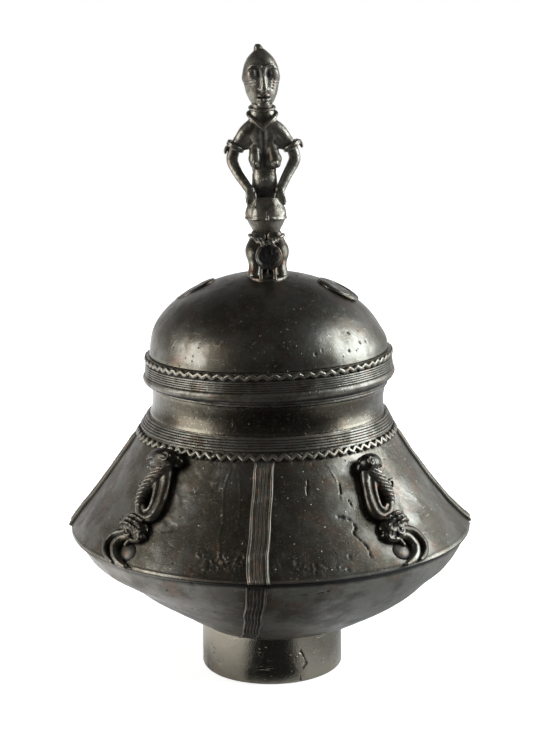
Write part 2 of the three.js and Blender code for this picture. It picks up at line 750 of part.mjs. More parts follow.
// A ring square to an axis, lying round something of the given radius
function band(radius, thickness, centre, axis, grow = 0) {
  const ring = new THREE.TorusGeometry(radius + SEAM + thickness / 2, thickness / 2 + grow, 5, 12);
  const turn = new THREE.Quaternion().setFromUnitVectors(upright, axis.clone().normalize());
  return ring.applyQuaternion(turn).translate(...centre);
}

function garter(side, grow = 0) {
  const height = KNEE_HEIGHT - GARTER_THICKNESS / 2 - SEAM;
  return band(KNEE_RADIUS, GARTER_THICKNESS, [side * legSpread, 0, height], upright, grow);
}

// The round dish in front of the shins, facing forwards on a short stem between the calves
function frontDish(grow = 0) {
  const back = -FRONT_DISH_STEM;
  const rim = FRONT_DISH_RADIUS + grow;
  const front = FRONT_DISH_THICKNESS + grow;
  const stem = FRONT_DISH_RADIUS * 0.55 + grow;
  const dish = turned([
    [0, back],
    [stem, back],
    [stem, -grow],
    [rim * 0.85, -grow],
    [rim, 0.8],
    [rim, front],
    [rim - 1.2, front],
    [rim - 1.8, front - 0.7],
    [0, front - 0.7],
  ], 16);
  return dish.rotateX(Math.PI / 2).translate(0, -FRONT_DISH_FORWARD, FRONT_DISH_HEIGHT);
}

function frontPost(side) {
  const foot = FIGURE_BASE_TOP + SEAM;
  const x = side * POST_SPREAD;
  return stacked([
    [foot, x, -POST_FORWARD, POST_RADIUS, POST_RADIUS],
    [FRONT_DISH_HEIGHT - FRONT_DISH_RADIUS * 0.75, x, -POST_FORWARD, POST_RADIUS, POST_RADIUS],
  ], 8);
}

function figureHips() {
  return stacked([
    [KNEE_HEIGHT + SEAM, 0, 0, HIP_BOTTOM_RADIUS, HIP_BOTTOM_RADIUS * 0.9],
    [HIP_RIDGE_HEIGHT - 1, 0, 0, HIP_RIDGE_RADIUS * 0.97, HIP_RIDGE_RADIUS * 0.88],
    [HIP_RIDGE_HEIGHT, 0, 0, HIP_RIDGE_RADIUS, HIP_RIDGE_RADIUS * 0.9],
    [HIP_TOP_HEIGHT - 2, 0, 0, HIP_TOP_RADIUS * 1.06, HIP_TOP_RADIUS * 0.94],
    [HIP_TOP_HEIGHT, 0, 0, HIP_TOP_RADIUS, HIP_TOP_RADIUS * 0.86],
  ]);
}

const armletPlace = [ELBOW_SPREAD - 1.9, 0.4, ELBOW_HEIGHT + 5.4];

function figureArm(side, grow = 0) {
  const [x, y, z] = armletPlace;
  return limb([
    [side * x, y, z + grow, ARM_RADIUS * 1.05],
    [side * ELBOW_SPREAD, 1.4, ELBOW_HEIGHT, ARM_RADIUS * 1.05],
    [side * (ELBOW_SPREAD - 2), 0, ELBOW_HEIGHT - 6, ARM_RADIUS],
    [side * (ELBOW_SPREAD - 5.6), -3, WRIST_HEIGHT + 4, ARM_RADIUS * 0.88],
    [side * (ELBOW_SPREAD - 7.6), -5, WRIST_HEIGHT, ARM_RADIUS * 0.76],
    [side * (ELBOW_SPREAD - 8.4), -6.4, WRIST_HEIGHT - 3.4, ARM_RADIUS * 0.92],
    [side * (ELBOW_SPREAD - 8.6), -6.8, WRIST_HEIGHT - 6.4, ARM_RADIUS * 0.5],
  ], { sides: 8, steps: 10, grow });
}

function armlet(side, grow = 0) {
  const [x, y, z] = armletPlace;
  const axis = new THREE.Vector3(side * 2.6, 0.6, -5);
  return band(ARM_RADIUS * 1.15, ARMLET_THICKNESS, [side * x, y, z], axis, grow);
}

function necklace(grow = 0) {
  const root = NECK_ROOT_HEIGHT;
  const half = [[3.8, -4.6, root - 4], [6.4, -1.4, root - 1], [5, 2.8, root + 0.6]];
  const stops = [[0, -5, root - 6.4], ...half, [0, 4.6, root + 1]];
  const mirrored = half.map(([x, y, z]) => [-x, y, z]).reverse();
  const thick = NECKLACE_THICKNESS / 2;
  return limb([...stops, ...mirrored].map((stop) => [...stop, thick]), {
    sides: 5, steps: 16, grow, closed: true,
  });
}

function neckRing(grow = 0) {
  return band(FIGURE_NECK_RADIUS, NECK_RING_THICKNESS, [0, 0, NECK_RING_HEIGHT], upright, grow);
}

function figureNeck(grow = 0) {
  const radius = FIGURE_NECK_RADIUS + grow;
  return stacked([
    [NECK_ROOT_HEIGHT - 2, 0, 0, radius, radius],
    [CHIN_HEIGHT + 2 + grow, 0, 0, radius, radius],
  ], 10);
}

function figureTorso() {
  const chest = stacked([
    [HIP_TOP_HEIGHT + SEAM, 0, 0, WAIST_RADIUS, WAIST_RADIUS * 0.8],
    [BREAST_TIP_HEIGHT - 4, 0, 0, WAIST_RADIUS, WAIST_RADIUS * 0.8],
    [BREAST_TIP_HEIGHT + 5, 0, 0, WAIST_RADIUS * 1.12, WAIST_RADIUS * 0.82],
    [SHOULDER_LINE_HEIGHT - 6, 0, 0, WAIST_RADIUS * 1.35, WAIST_RADIUS * 0.82],
    [SHOULDER_LINE_HEIGHT - 1.5, 0, 0, WAIST_RADIUS * 1.1, WAIST_RADIUS * 0.74],
    [NECK_ROOT_HEIGHT, 0, 0, FIGURE_NECK_RADIUS * 1.05, FIGURE_NECK_RADIUS],
  ]);
  const [x, y, z] = armletPlace;
  const upperArms = [-1, 1].map((side) => limb([
    [side * 2, 0, SHOULDER_LINE_HEIGHT - 2.5, 3.6],
    [side * 8, 0, SHOULDER_LINE_HEIGHT - 5.6, 3.8],
    [side * x, y, z, ARM_RADIUS * 1.15],
  ], { sides: 7, steps: 4 }));
  const breasts = [-1, 1].map((side) => limb([
    [side * 2.6, -2.4, SHOULDER_LINE_HEIGHT - 7, 1.6],
    [side * 3.4, -4.4, BREAST_TIP_HEIGHT + 5, BREAST_RADIUS * 0.85],
    [side * 3.8, -5.4, BREAST_TIP_HEIGHT, BREAST_RADIUS],
    [side * 3.8, -5.6, BREAST_TIP_HEIGHT - 2, BREAST_RADIUS * 0.7],
  ], { sides: 6, steps: 4 }));
  const whole = join(chest, figureNeck(), ...upperArms, ...breasts);
  const neighbours = [-1, 1].flatMap((side) => [figureArm(side, SEAM), armlet(side, SEAM)]);
  return cut(whole, ...neighbours, necklace(SEAM), neckRing(SEAM));
}

function topknot(grow = 0) {
  const radius = TOPKNOT_RADIUS;
  const base = FIGURE_HEIGHT - TOPKNOT_HEIGHT - grow;
  return stacked([
    [base, 0, 0, radius * 0.9 + grow, radius * 0.9 + grow],
    [base + TOPKNOT_HEIGHT * 0.4, 0, 0, radius + grow, radius + grow],
    [FIGURE_HEIGHT - TOPKNOT_HEIGHT * 0.25, 0, 0, radius * 0.75 + grow, radius * 0.75 + grow],
    [FIGURE_HEIGHT + grow, 0, 0, radius * 0.25 + grow, radius * 0.25 + grow],
  ], 8);
}

function figureHead() {
  const rise = HEAD_LENGTH;
  const girths = [[0, 0.38], [0.1, 0.62], [0.25, 0.82], [0.38, 0.92], [0.52, 1]];
  const tops = [[0.68, 0.93], [0.8, 0.79], [0.9, 0.58], [1, 0.22]];
  const skull = stacked([...girths, ...tops].map(([share, girth]) => [
    CHIN_HEIGHT + share * rise, 0, -1 + share, HEAD_RADIUS * girth, HEAD_RADIUS * girth * 1.02,
  ]), 14);
  const face = -HEAD_RADIUS * 0.86;
  const eyeHeight = CHIN_HEIGHT + rise * 0.54;
  const eyes = [-1, 1].map((side) => ball([side * 4.6, face + 0.4, eyeHeight], [3, 2, 2.4], 8));
  const nose = limb([
    [0, face - 0.6, CHIN_HEIGHT + rise * 0.56, 0.8],
    [0, face - 0.4, CHIN_HEIGHT + rise * 0.34, 1.2],
    [0, face + 1.8, CHIN_HEIGHT + rise * 0.2, 1.3],
  ], { sides: 6, steps: 3 });
  return cut(join(skull, ...eyes, nose), figureNeck(SEAM), neckRing(SEAM), topknot(SEAM));
}

// Assembly

function mesh(name, geometry, finish) {
  const piece = new THREE.Mesh(geometry, new THREE.MeshStandardMaterial(finish));
  piece.name = name;
  return piece;
}

const pot = new THREE.Group();
const potPieces = {
  foot_ring: footRing(),
  lower_bowl: lowerBowl(),
  upper_bowl: upperBowl(),
  neck: neck(),
  neck_rim: neckRim(),
  collar_ridges: collarRidges(),
  collar_zigzag: collarZigzag(),
};
for (const [name, geometry] of Object.entries(potPieces)) {
  pot.add(mesh(name, geometry, POT_BRONZE));
}

const ribPlaces = {
  front: [0, -FRONT_RIB_TOP_SHIFT, -FRONT_RIB_SHOULDER_SHIFT, -FRONT_RIB_FOOT_SHIFT],
  right: [90, 0, 0, 0],
  back: [180, 0, 0, 0],
  left: [270, 0, 0, 0],
};
for (const [name, [azimuth, top, shoulder, foot]] of Object.entries(ribPlaces)) {
  const angle = THREE.MathUtils.degToRad(azimuth);
  pot.add(mesh(`rib_${name}_upper`, upperRib(angle, top, shoulder), POT_BRONZE));
  pot.add(mesh(`rib_${name}_lower`, lowerRib(angle, shoulder, foot), POT_BRONZE));
}

const animalPlaces = {
  front_left: [FRONT_LEFT_ANIMAL_AZIMUTH, -1],
  front_right: [FRONT_RIGHT_ANIMAL_AZIMUTH, 1],
  back_left: [-BACK_ANIMAL_AZIMUTH, 1],
  back_right: [BACK_ANIMAL_AZIMUTH, -1],
};
for (const [place, [azimuth, side]] of Object.entries(animalPlaces)) {
  for (const [piece, geometry] of animal(THREE.MathUtils.degToRad(azimuth), side)) {
    pot.add(mesh(`animal_${place}_${piece}`, geometry, POT_BRONZE));
  }
}

const lid = new THREE.Group();
lid.position.z = RIM_TOP_HEIGHT + LID_SEAT_CLEARANCE;
const lidPieces = {
  lid_flange: lidFlange(),
  lid_band: lidBand(),
  lid_zigzag: lidZigzag(),
  lid_dome: lidDome(),
  lid_disc_left: lidDisc(-1),
  lid_disc_right: lidDisc(1),
};
for (const [name, geometry] of Object.entries(lidPieces)) {
  lid.add(mesh(name, geometry, LID_BRONZE));
}

// The figure leans a little to its own right, as the photograph shows
const lean = new THREE.Matrix4().makeShear(0, 0, 0, 0, -FIGURE_LEAN, 0);
const figure = new THREE.Group();
figure.position.z = LID_TOP;
const figurePieces = {
  figure_head: figureHead(),
  figure_topknot: topknot(),
  figure_neck_ring: neckRing(),
  figure_necklace: necklace(),
  figure_torso: figureTorso(),
  figure_hips: figureHips(),
  figure_front_dish: frontDish(),
};
const sides = { left: -1, right: 1 };
for (const [name, side] of Object.entries(sides)) {
  figurePieces[`figure_arm_${name}`] = figureArm(side);
  figurePieces[`figure_armlet_${name}`] = armlet(side);
  figurePieces[`figure_leg_${name}`] = cut(figureLeg(side), garter(side, SEAM), frontDish(SEAM));
  figurePieces[`figure_garter_${name}`] = garter(side);
  figurePieces[`figure_post_${name}`] = cut(frontPost(side), frontDish(SEAM));
}
figure.add(mesh("figure_base", figureBase(), FIGURE_BRONZE));
for (const [name, geometry] of Object.entries(figurePieces)) {
  figure.add(mesh(name, outward(geometry).applyMatrix4(lean), FIGURE_BRONZE));
}
lid.add(figure);

const ointmentPot = new THREE.Group();
ointmentPot.add(pot, lid);
export default ointmentPot;
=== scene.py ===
"""Cast bronze ointment pot with a figure on its lid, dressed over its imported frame.

Lengths are worked out in millimetres and turned to metres when a mesh is made. An azimuth is 0 at the
front, which looks towards -Y, and grows towards +X. Heights of the figure count from the top of the lid.
"""

import math
from itertools import product

import bpy
import numpy as np
from bpy.props import FloatProperty, FloatVectorProperty, IntProperty, PointerProperty
from mathutils import Euler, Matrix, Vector


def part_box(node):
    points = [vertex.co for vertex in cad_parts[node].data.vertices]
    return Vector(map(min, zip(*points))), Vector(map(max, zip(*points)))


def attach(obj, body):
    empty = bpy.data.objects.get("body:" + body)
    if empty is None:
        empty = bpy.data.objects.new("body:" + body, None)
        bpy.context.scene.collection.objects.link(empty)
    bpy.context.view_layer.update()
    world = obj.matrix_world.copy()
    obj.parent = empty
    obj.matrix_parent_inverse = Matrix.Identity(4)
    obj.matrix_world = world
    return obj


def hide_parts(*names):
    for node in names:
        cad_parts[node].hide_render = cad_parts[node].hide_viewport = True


bl_info = {
    "name": "Bronze ointment pot",
    "version": (1, 0, 0),
    "blender": (4, 5, 0),
    "location": "3D View > Sidebar > Ointment Pot",
    "description": "Dresses a lidded ointment pot of cast bronze, with the figure on its lid",
    "category": "Object",
}

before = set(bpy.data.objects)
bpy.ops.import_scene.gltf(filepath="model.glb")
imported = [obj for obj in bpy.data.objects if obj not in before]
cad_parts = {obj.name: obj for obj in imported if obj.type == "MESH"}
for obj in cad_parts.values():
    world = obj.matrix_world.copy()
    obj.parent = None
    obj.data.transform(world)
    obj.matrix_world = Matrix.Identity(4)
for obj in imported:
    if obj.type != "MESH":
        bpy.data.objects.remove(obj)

MM = 0.001

# Fineness of the meshes: columns round the pot, finer over the front, and the step along an outline
FRONT_COLUMNS = 430
BACK_COLUMNS = 170
FRONT_HALF_ANGLE = math.radians(82)
OUTLINE_STEP = 0.65
INSIDE_STEP = 4.0
# Fineness of the modelled wax, and of the face and the hands
WAX_GRAIN = 0.36
FACE_GRAIN = 0.28
# Lift over its surroundings, in mm, that counts as a fully worn edge, and the rounds of averaging round it
EDGE_LIFT = 0.22
EDGE_ROUNDS = 8
# Faces that meet at more than this show a sharp line
SHARP_ANGLE = math.radians(50)


def box_mm(node):
    """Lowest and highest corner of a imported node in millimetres."""
    low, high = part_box(node)
    return np.array(low) / MM, np.array(high) / MM


def radius_of(node):
    """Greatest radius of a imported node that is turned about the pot's axis."""
    return float(box_mm(node)[1][0])


def bottom_of(node):
    """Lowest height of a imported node."""
    return float(box_mm(node)[0][2])


def top_of(node):
    """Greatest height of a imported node."""
    return float(box_mm(node)[1][2])


def linear(hex_colour):
    """Turns an sRGB hex value into linear red, green and blue."""
    parts = [((hex_colour >> shift) & 255) / 255 for shift in (16, 8, 0)]
    return tuple(p / 12.92 if p <= 0.04045 else ((p + 0.055) / 1.055) ** 2.4 for p in parts)


def ease(low, high, value):
    """Smooth step from 0 at low to 1 at high."""
    t = np.clip((value - low) / (high - low), 0, 1)
    return t * t * (3 - 2 * t)


def around(count):
    """Angles that go round once in even steps."""
    return np.arange(count) / count * 2 * math.pi


# Settings


def length(name, description, default):
    """A length property whose default is given in millimetres."""
    return FloatProperty(name=name, description=description, default=default * MM, unit="LENGTH", precision=5)


def tone(name, description, default):
    """A colour property whose default is an sRGB hex value."""
    return FloatVectorProperty(name=name, description=description, default=linear(default),
                               subtype="COLOR", size=3, min=0, max=1)


class PotSettings(bpy.types.PropertyGroup):
    """Sizes of the pot's wall and of what is laid on it."""

    wall: length("Wall", "Thickness of the cast wall", 3)
    bulge: length("Lower bulge", "How far the wall below the shoulder swells outwards", 5.2)
    bulge_skew: FloatProperty(name="Bulge skew", description="How far it sits towards the shoulder",
                              default=0.7)
    hollow: length("Upper hollow", "How far the wall above the shoulder sinks inwards", 2)
    shoulder_round: length("Shoulder round", "Rounding of the shoulder's edge", 1.6)
    unevenness: length("Unevenness", "Depth of the dents that the hand-rolled wax left", 0.34)
    pit_depth: length("Pit depth", "Depth of the larger casting pits", 0.55)
    crack_depth: length("Crack depth", "Depth of the casting cracks", 0.6)
    neck_waist: length("Neck waist", "How far the neck draws in below its rim", 1.1)
    thread_width: length("Thread width", "Width of a laid wax thread", 2.1)
    thread_relief: length("Thread relief", "How far a laid thread stands off the wall", 1.1)
    tooth_pitch: length("Tooth pitch", "Distance from one zigzag tooth to the next", 5.3)
    collar_threads: IntProperty(name="Collar threads", description="Threads round the neck's foot", default=5)
    rib_wires: IntProperty(name="Rib wires", description="Wires side by side in a rib", default=6)
    rib_relief: length("Rib relief", "How far a rib's wires stand off the wall", 1.2)


class AnimalSettings(bpy.types.PropertyGroup):
    """Sizes of the four climbing animals."""

    above_shoulder: length("Height on wall", "Distance of the animals' middle from the shoulder", 30)
    relief: length("Relief", "How far the animals stand off the wall", 5.8)
    tube: length("Body tube", "Thickness of the body's rolled tubes", 4.6)
    tail_tube: length("Tail tube", "Thickness of the two curled tails", 4.1)
    skin_depth: length("Skin depth", "Depth of the hatched skin", 0.32)


class LidSettings(bpy.types.PropertyGroup):
    """Sizes of the lid's band, dome and plates."""

    band_threads: IntProperty(name="Band threads", description="Threads round the lid's band", default=5)
    groove: length("Groove depth", "Depth of the grooves between the band's threads", 0.6)
    slope: FloatProperty(name="Band slope", description="Rise of the band from left to right", default=0.02)
    dome_slump: length("Dome slump", "How far the dome sinks in on its right side", 0.7)
    plate_radius: length("Plate radius", "Radius of the two round plates on the dome", 11)
    plate_height: length("Plate height", "How far a plate's rim stands off the dome", 1.2)


class FigureSettings(bpy.types.PropertyGroup):
    """Sizes of the figure on the lid."""

    aside: length("Aside", "How far the figure stands to the right of the axis", 0.15)
    lean: FloatProperty(name="Lean", description="Sideways lean over height", default=0.0225)
    head_turn: FloatProperty(name="Head turn", description="Turn of the head to the figure's left",
                             default=math.radians(8), subtype="ANGLE", unit="ROTATION")
    arm_radius: length("Arm radius", "Radius of the forearms", 2.6)
    ring_thickness: length("Ring thickness", "Thickness of the armlets and the neck ring", 1.7)


class BronzeSettings(bpy.types.PropertyGroup):
    """Colours of the bronze and its patina."""

    patina: tone("Patina", "Dark patina of the metal", 0x464239)
    satin: tone("Satin", "Handled metal, where the patina has thinned", 0x63615A)
    warm: tone("Warm", "Reddish brown bloom", 0x654B3D)
    worn: tone("Worn", "Bare metal on worn edges", 0x938D7F)
    dust: tone("Dust", "Pale brown earth in the pores", 0x6B5D4D)
    # Soot and grease, and also the colour of the painted shade in hollows, grooves, notches and under edges
    grime: tone("Grime", "Soot and grease in the grooves", 0x13110D)


class StageSettings(bpy.types.PropertyGroup):
    """Camera, lamps and floor."""

    distance: length("Camera distance", "Distance of the camera in front of the axis", 824)
    height: length("Camera height", "Height of the camera above the floor", 319)
    aside: length("Camera aside", "Place of the camera to the right of the axis", -1.1)
    pitch: FloatProperty(name="Camera pitch", description="Angle that the camera looks down",
                         default=math.radians(11.37), subtype="ANGLE", unit="ROTATION")
    roll: FloatProperty(name="Camera roll", description="Turn of the camera about its view",
                        default=math.radians(-0.75), subtype="ANGLE", unit="ROTATION")
    lens: FloatProperty(name="Lens", description="Focal length", default=83.7, unit="CAMERA")
    left_power: FloatProperty(name="Left softbox", description="Power of the left softbox", default=11.4,
                              unit="POWER")
    right_power: FloatProperty(name="Right softbox", description="Power of the right softbox", default=26,
                               unit="POWER")
    room: FloatProperty(name="Room light", description="Brightness of the dim room in front", default=0.06)


SETTINGS = {
    "pot_settings": PotSettings,
    "animal_settings": AnimalSettings,
    "lid_settings": LidSettings,
    "figure_settings": FigureSettings,
    "bronze_settings": BronzeSettings,
    "stage_settings": StageSettings,
}


def sizes(group):
    """The scene's settings of one group, with lengths in millimetres."""
    settings = getattr(bpy.context.scene, group)
    found = {}
    for name, prop in settings.bl_rna.properties.items():
        if name in ("rna_type", "name"):
            continue
        value = getattr(settings, name)
        found[name] = value / MM if prop.unit == "LENGTH" else value
    return found


# Uneven surfaces


def uneven(points, size, seed, octaves=1):
    """Smooth noise from -1 to 1 with bumps of the given size, the same on every run."""
    total = np.zeros(points.shape[:-1])
    reach = 0
    for octave in range(octaves):
        share = 0.5 ** octave
        cell = points / (size * share)
        low = np.floor(cell).astype(np.int64)
        t = cell - low
        t = t * t * (3 - 2 * t)
        for corner in product((0, 1), repeat=3):
            key = (low + corner) @ np.array([73856093, 19349663, 83492791])
            key = (key ^ ((seed + octave) * 2654435761)) & 0xFFFFFFFF
            key = ((key ^ (key >> 15)) * 2246822519) & 0xFFFFFFFF
            key = ((key ^ (key >> 13)) * 3266489917) & 0xFFFFFFFF
            value = ((key ^ (key >> 16)) & 0xFFFFF) / 0xFFFFF * 2 - 1
            total += share * value * np.prod(np.where(corner, t, 1 - t), axis=-1)
        reach += share
    return total / reach


def near_path(points, path):
    """Distance of each point to a line through the path's points."""
    nearest = np.full(points.shape[:-1], np.inf)
    for start, end in zip(path[:-1], path[1:]):
        run = end - start
        t = np.clip((points - start) @ run / max(run @ run, 1e-9), 0, 1)
        nearest = np.minimum(nearest, np.linalg.norm(points - start - t[..., None] * run, axis=-1))
    return nearest


def curve_through(stops, per_span=6, closed=False):
    """Points on a smooth curve through rows of numbers."""
    stops = np.array(stops, float)
    count = len(stops)
    if closed:
        padded = np.vstack([stops[-1], stops, stops[:2]])
        spans = count
    else:
        padded = np.vstack([2 * stops[0] - stops[1], stops, 2 * stops[-1] - stops[-2]])
        spans = count - 1
    found = []
    for i in range(spans):
        a, b, c, d = padded[i:i + 4]
        for t in np.arange(per_span) / per_span:
            found.append(0.5 * (2 * b + (c - a) * t + (2 * a - 5 * b + 4 * c - d) * t ** 2
                                + (3 * b - a - 3 * c + d) * t ** 3))
    if not closed:
        found.append(stops[-1])
    return np.array(found)


# Meshes


def mesh_from(name, points, faces):
    """A mesh from points in millimetres, with its faces turned outwards."""
    corner = [np.array([points[f[k]] for f in faces]) for k in (0, 1, 2)]
    fourth = np.array([points[f[3]] if len(f) > 3 else points[f[0]] for f in faces])
    volume = np.einsum("ij,ij->", corner[0], np.cross(corner[1], corner[2]))
    volume += np.einsum("ij,ij->", corner[0], np.cross(corner[2], fourth))
    if volume < 0:
        faces = [f[::-1] for f in faces]
    mesh = bpy.data.meshes.new(name)
    mesh.from_pydata((np.asarray(points) * MM).tolist(), [], faces)
    mesh.update()
    return mesh


def read_mesh(mesh):
    """A mesh's points in millimetres and its unit normals."""
    points = np.empty(len(mesh.vertices) * 3)
    mesh.vertices.foreach_get("co", points)
    normals = np.empty(len(mesh.vertices) * 3)
    mesh.vertex_normals.foreach_get("vector", normals)
    return points.reshape(-1, 3) / MM, normals.reshape(-1, 3)


def move_points(mesh, points):
    """Puts a mesh's points at places in millimetres."""
    mesh.vertices.foreach_set("co", (points * MM).astype(np.float32).ravel())
    mesh.update()


def averaged(mesh, values, rounds):
    """Point values averaged with their neighbours a number of times."""
    ends = np.empty(len(mesh.edges) * 2, np.int64)
    mesh.edges.foreach_get("vertices", ends)
    one, other = ends.reshape(-1, 2).T
    count = len(mesh.vertices)
    degree = np.maximum(np.bincount(one, minlength=count) + np.bincount(other, minlength=count), 1)
    for _ in range(rounds):
        columns = []
        for column in values.reshape(count, -1).T:
            total = np.bincount(one, column[other], count) + np.bincount(other, column[one], count)
            columns.append(0.5 * column + 0.5 * total / degree)
        values = np.array(columns).T
    return values


def mark_edges(mesh, grime):
    """Stores where the metal stands out and gets worn, 0.5 being flat, and where grime and painted shade
    darken it.
    """
    points, normals = read_mesh(mesh)
    lifted = np.einsum("ij,ij->i", points - averaged(mesh, points, EDGE_ROUNDS), normals)
    values = {"edge": np.clip(0.5 + 0.5 * lifted / EDGE_LIFT, 0, 1), "grime": grime}
    for name, value in values.items():
        layer = mesh.attributes.new(name, "FLOAT", "POINT")
        layer.data.foreach_set("value", np.asarray(value, np.float32))


def piece(name, mesh, body, material, grime=None):
    """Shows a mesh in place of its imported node, riding on a body."""
    if body == "pot":
        move_points(mesh, swayed(read_mesh(mesh)[0]))
    mark_edges(mesh, np.zeros(len(mesh.vertices)) if grime is None else grime)
    mesh.shade_smooth()
    mesh.set_sharp_from_angle(angle=SHARP_ANGLE)
    made = bpy.data.objects.new(f"{name}_cast", mesh)
    bpy.context.scene.collection.objects.link(made)
    made.data.materials.append(material)
    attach(made, body)
    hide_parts(name)


def grid_faces(rows, columns, wrap_rows=False):
    """Four-sided faces between neighbouring points of a grid of points that closes round its columns."""
    a, b = np.meshgrid(np.arange(rows if wrap_rows else rows - 1), np.arange(columns), indexing="ij")
    next_row = (a + 1) % rows
    next_column = (b + 1) % columns
    quads = [a * columns + b, a * columns + next_column, next_row * columns + next_column,
             next_row * columns + b]
    return np.stack([q.ravel() for q in quads], axis=1).tolist()


# Turned pieces

AZIMUTHS = np.concatenate([
    np.linspace(-FRONT_HALF_ANGLE, FRONT_HALF_ANGLE, FRONT_COLUMNS, endpoint=False),
    np.linspace(FRONT_HALF_ANGLE, 2 * math.pi - FRONT_HALF_ANGLE, BACK_COLUMNS, endpoint=False),
])


class Outline:
    """Outline of a turned piece: [radius, height] points, each with its share of the hand-made surface."""

    def __init__(self, start=None):
        self.points = []
        self.shares = []
        self.pen = start

    def to(self, end, step=OUTLINE_STEP, swell=0.0, share=0.0, skew=0.0):
        """Adds the points from the pen up to, but without, end, swelling to the right of the run."""
        start, end = np.array(self.pen, float), np.array(end, float)
        chord = np.linalg.norm(end - start)
        count = max(1, round(chord / step))
        side = np.array([end[1] - start[1], start[0] - end[0]]) / chord
        for t in np.arange(count) / count:
            height = 4 * swell * t * (1 - t) * (1 + skew * (t - 0.5))
            self.points.append(start + t * (end - start) + height * side)
            self.shares.append(share)
        self.pen = end
        return self

    def through(self, points, share=0.0, then=None):
        """Adds the given points, and puts the pen down at the next one."""
        self.points.extend(np.array(p, float) for p in points)
        self.shares.extend([share] * len(points))
        self.pen = then
        return self

    def normals(self, closed):
        """Directions to the right of the outline at its points."""
        points = np.array(self.points)
        if closed:
            run = np.roll(points, -1, axis=0) - np.roll(points, 1, axis=0)
        else:
            run = np.gradient(points, axis=0)
        run /= np.maximum(np.linalg.norm(run, axis=1), 1e-9)[:, None]
        return np.stack([run[:, 1], -run[:, 0]], axis=1)


def round_the_pot(radius, azimuth, height):
    """Points from radii, azimuths and heights of equal shape."""
    return np.stack([radius * np.sin(azimuth), -radius * np.cos(azimuth), height + 0 * azimuth], axis=-1)


def turned(name, outline, closed=True, relief=None, azimuths=AZIMUTHS):
    """Turns an outline about the axis. relief(points, azimuth, shares) gives the lift in mm and the grime and
    painted shade.
    """
    points = np.array(outline.points)
    normals = outline.normals(closed)
    shares = np.array(outline.shares)[:, None]
    radius, height = points[:, :1], points[:, 1:]
    angle = azimuths[None, :] + 0 * radius
    plain = round_the_pot(radius + 0 * angle, angle, height)
    lift, grime = relief(plain, angle, shares) if relief else (0 * angle, 0 * angle)
    lift = lift * shares
    grid = round_the_pot(radius + lift * normals[:, :1], angle, height + lift * normals[:, 1:])
    rows, columns = grid.shape[:2]
    if closed:
        return mesh_from(name, grid.reshape(-1, 3), grid_faces(rows, columns, wrap_rows=True)), grime.ravel()
    poles = np.array([[0, 0, points[0, 1]], [0, 0, points[-1, 1]]])
    inner = grid[1:-1].reshape(-1, 3)
    faces = grid_faces(rows - 2, columns)
    first, last = len(inner), len(inner) + 1
    top = (rows - 3) * columns
    for k in range(columns):
        after = (k + 1) % columns
        faces.append([first, after, k])
        faces.append([last, top + k, top + after])
    return mesh_from(name, np.vstack([inner, poles]), faces), np.append(grime[1:-1].ravel(), [0, 0])


def threads(start, end, count, groove, samples=7):
    """Points across threads laid side by side between two outline points, crests to the right of the run."""
    start, end = np.array(start, float), np.array(end, float)
    chord = np.linalg.norm(end - start)
    side = np.array([end[1] - start[1], start[0] - end[0]]) / chord
    found = []
    for i in range(count * samples + 1):
        t = i / (count * samples)
        rise = min(1.0, 1.9 * abs(math.sin(math.pi * count * t))) ** 0.8
        found.append(start + t * (end - start) - side * (groove * (1 - rise)))
    return found


# Surface marks on the wall, as [azimuth in degrees, height] points

WALL_CRACKS = [
    [(23.6, 97), (26.2, 96.3), (28.1, 94.7), (29, 92), (27.3, 89.7), (28.7, 86.9), (30.1, 84.1),
     (29.9, 79.7)],
    [(28.3, 109.4), (27.5, 105), (29.6, 103.4), (30, 100.8)],
    [(15.6, 112.1), (15, 106.5)],
    [(30.1, 80.3), (32.7, 80), (34, 79.1)],
]
WALL_LINES = [
    [(-14.7, 117.3), (-16, 108.3), (-14.4, 96.5), (-15, 91.4), (-13, 81.2)],
    [(-11.1, 116.2), (-9.8, 110.6), (-9.1, 102.5), (-9.6, 93.7)],
    [(24.9, 119), (28, 109.5), (27.5, 103.7)],
]
WALL_HOLES = [(23.5, 81.5), (21.4, 77)]
# Rough spots beside the front rib, as [azimuth in degrees, height, size]
WALL_ROUGH = [(-13, 82, 5.5), (-10, 80.5, 5), (-17, 80, 4), (-7.5, 83, 4), (-7.4, 89, 3), (-20, 84, 3),
              (1.2, 86, 2.6), (1.2, 80, 3.2), (8, 79.5, 4.5), (13, 78.6, 3.5), (19, 78.4, 2.5)]
LOWER_CRACKS = [
    [(7.2, 66.3), (11.7, 66.2), (15.2, 67.2)],
    [(9, 50.5), (11.3, 50.1)],
    [(-22.3, 71.3), (-20.3, 68.1)],
    [(-28.4, 51.3), (-26.8, 49.3)],
    [(-31.5, 64.9), (-30, 65.2)],
    [(52, 55), (58, 60), (62, 66)],
]
FOOT_FLAWS = [[(22.9, 16.1), (28.7, 9.7), (22.9, 6.1), (23, 1.2)]]
DOME_HOLES = [(44.5, 176.6), (49.9, 171.1), (54.6, 170.9), (40.7, 168.1), (22, 168.8), (-2.5, 171.1)]
DOME_LINES = [
    [(46.1, 167.4), (49.1, 162.3)],
    [(-48.4, 185.3), (-46.5, 182.9)],
    [(-51.6, 172.6), (-53.4, 167.7)],
]


def on_outline(outline, marks):
    """Places [azimuth, height] marks on a turned piece's outer surface."""
    outer = np.array([p for p, share in zip(outline.points, outline.shares) if share > 0])
    outer = outer[np.argsort(outer[:, 1])]
    angle = np.radians([azimuth for azimuth, _ in marks])
    height = np.array([h for _, h in marks], float)
    return round_the_pot(np.interp(height, outer[:, 1], outer[:, 0]), angle, height)


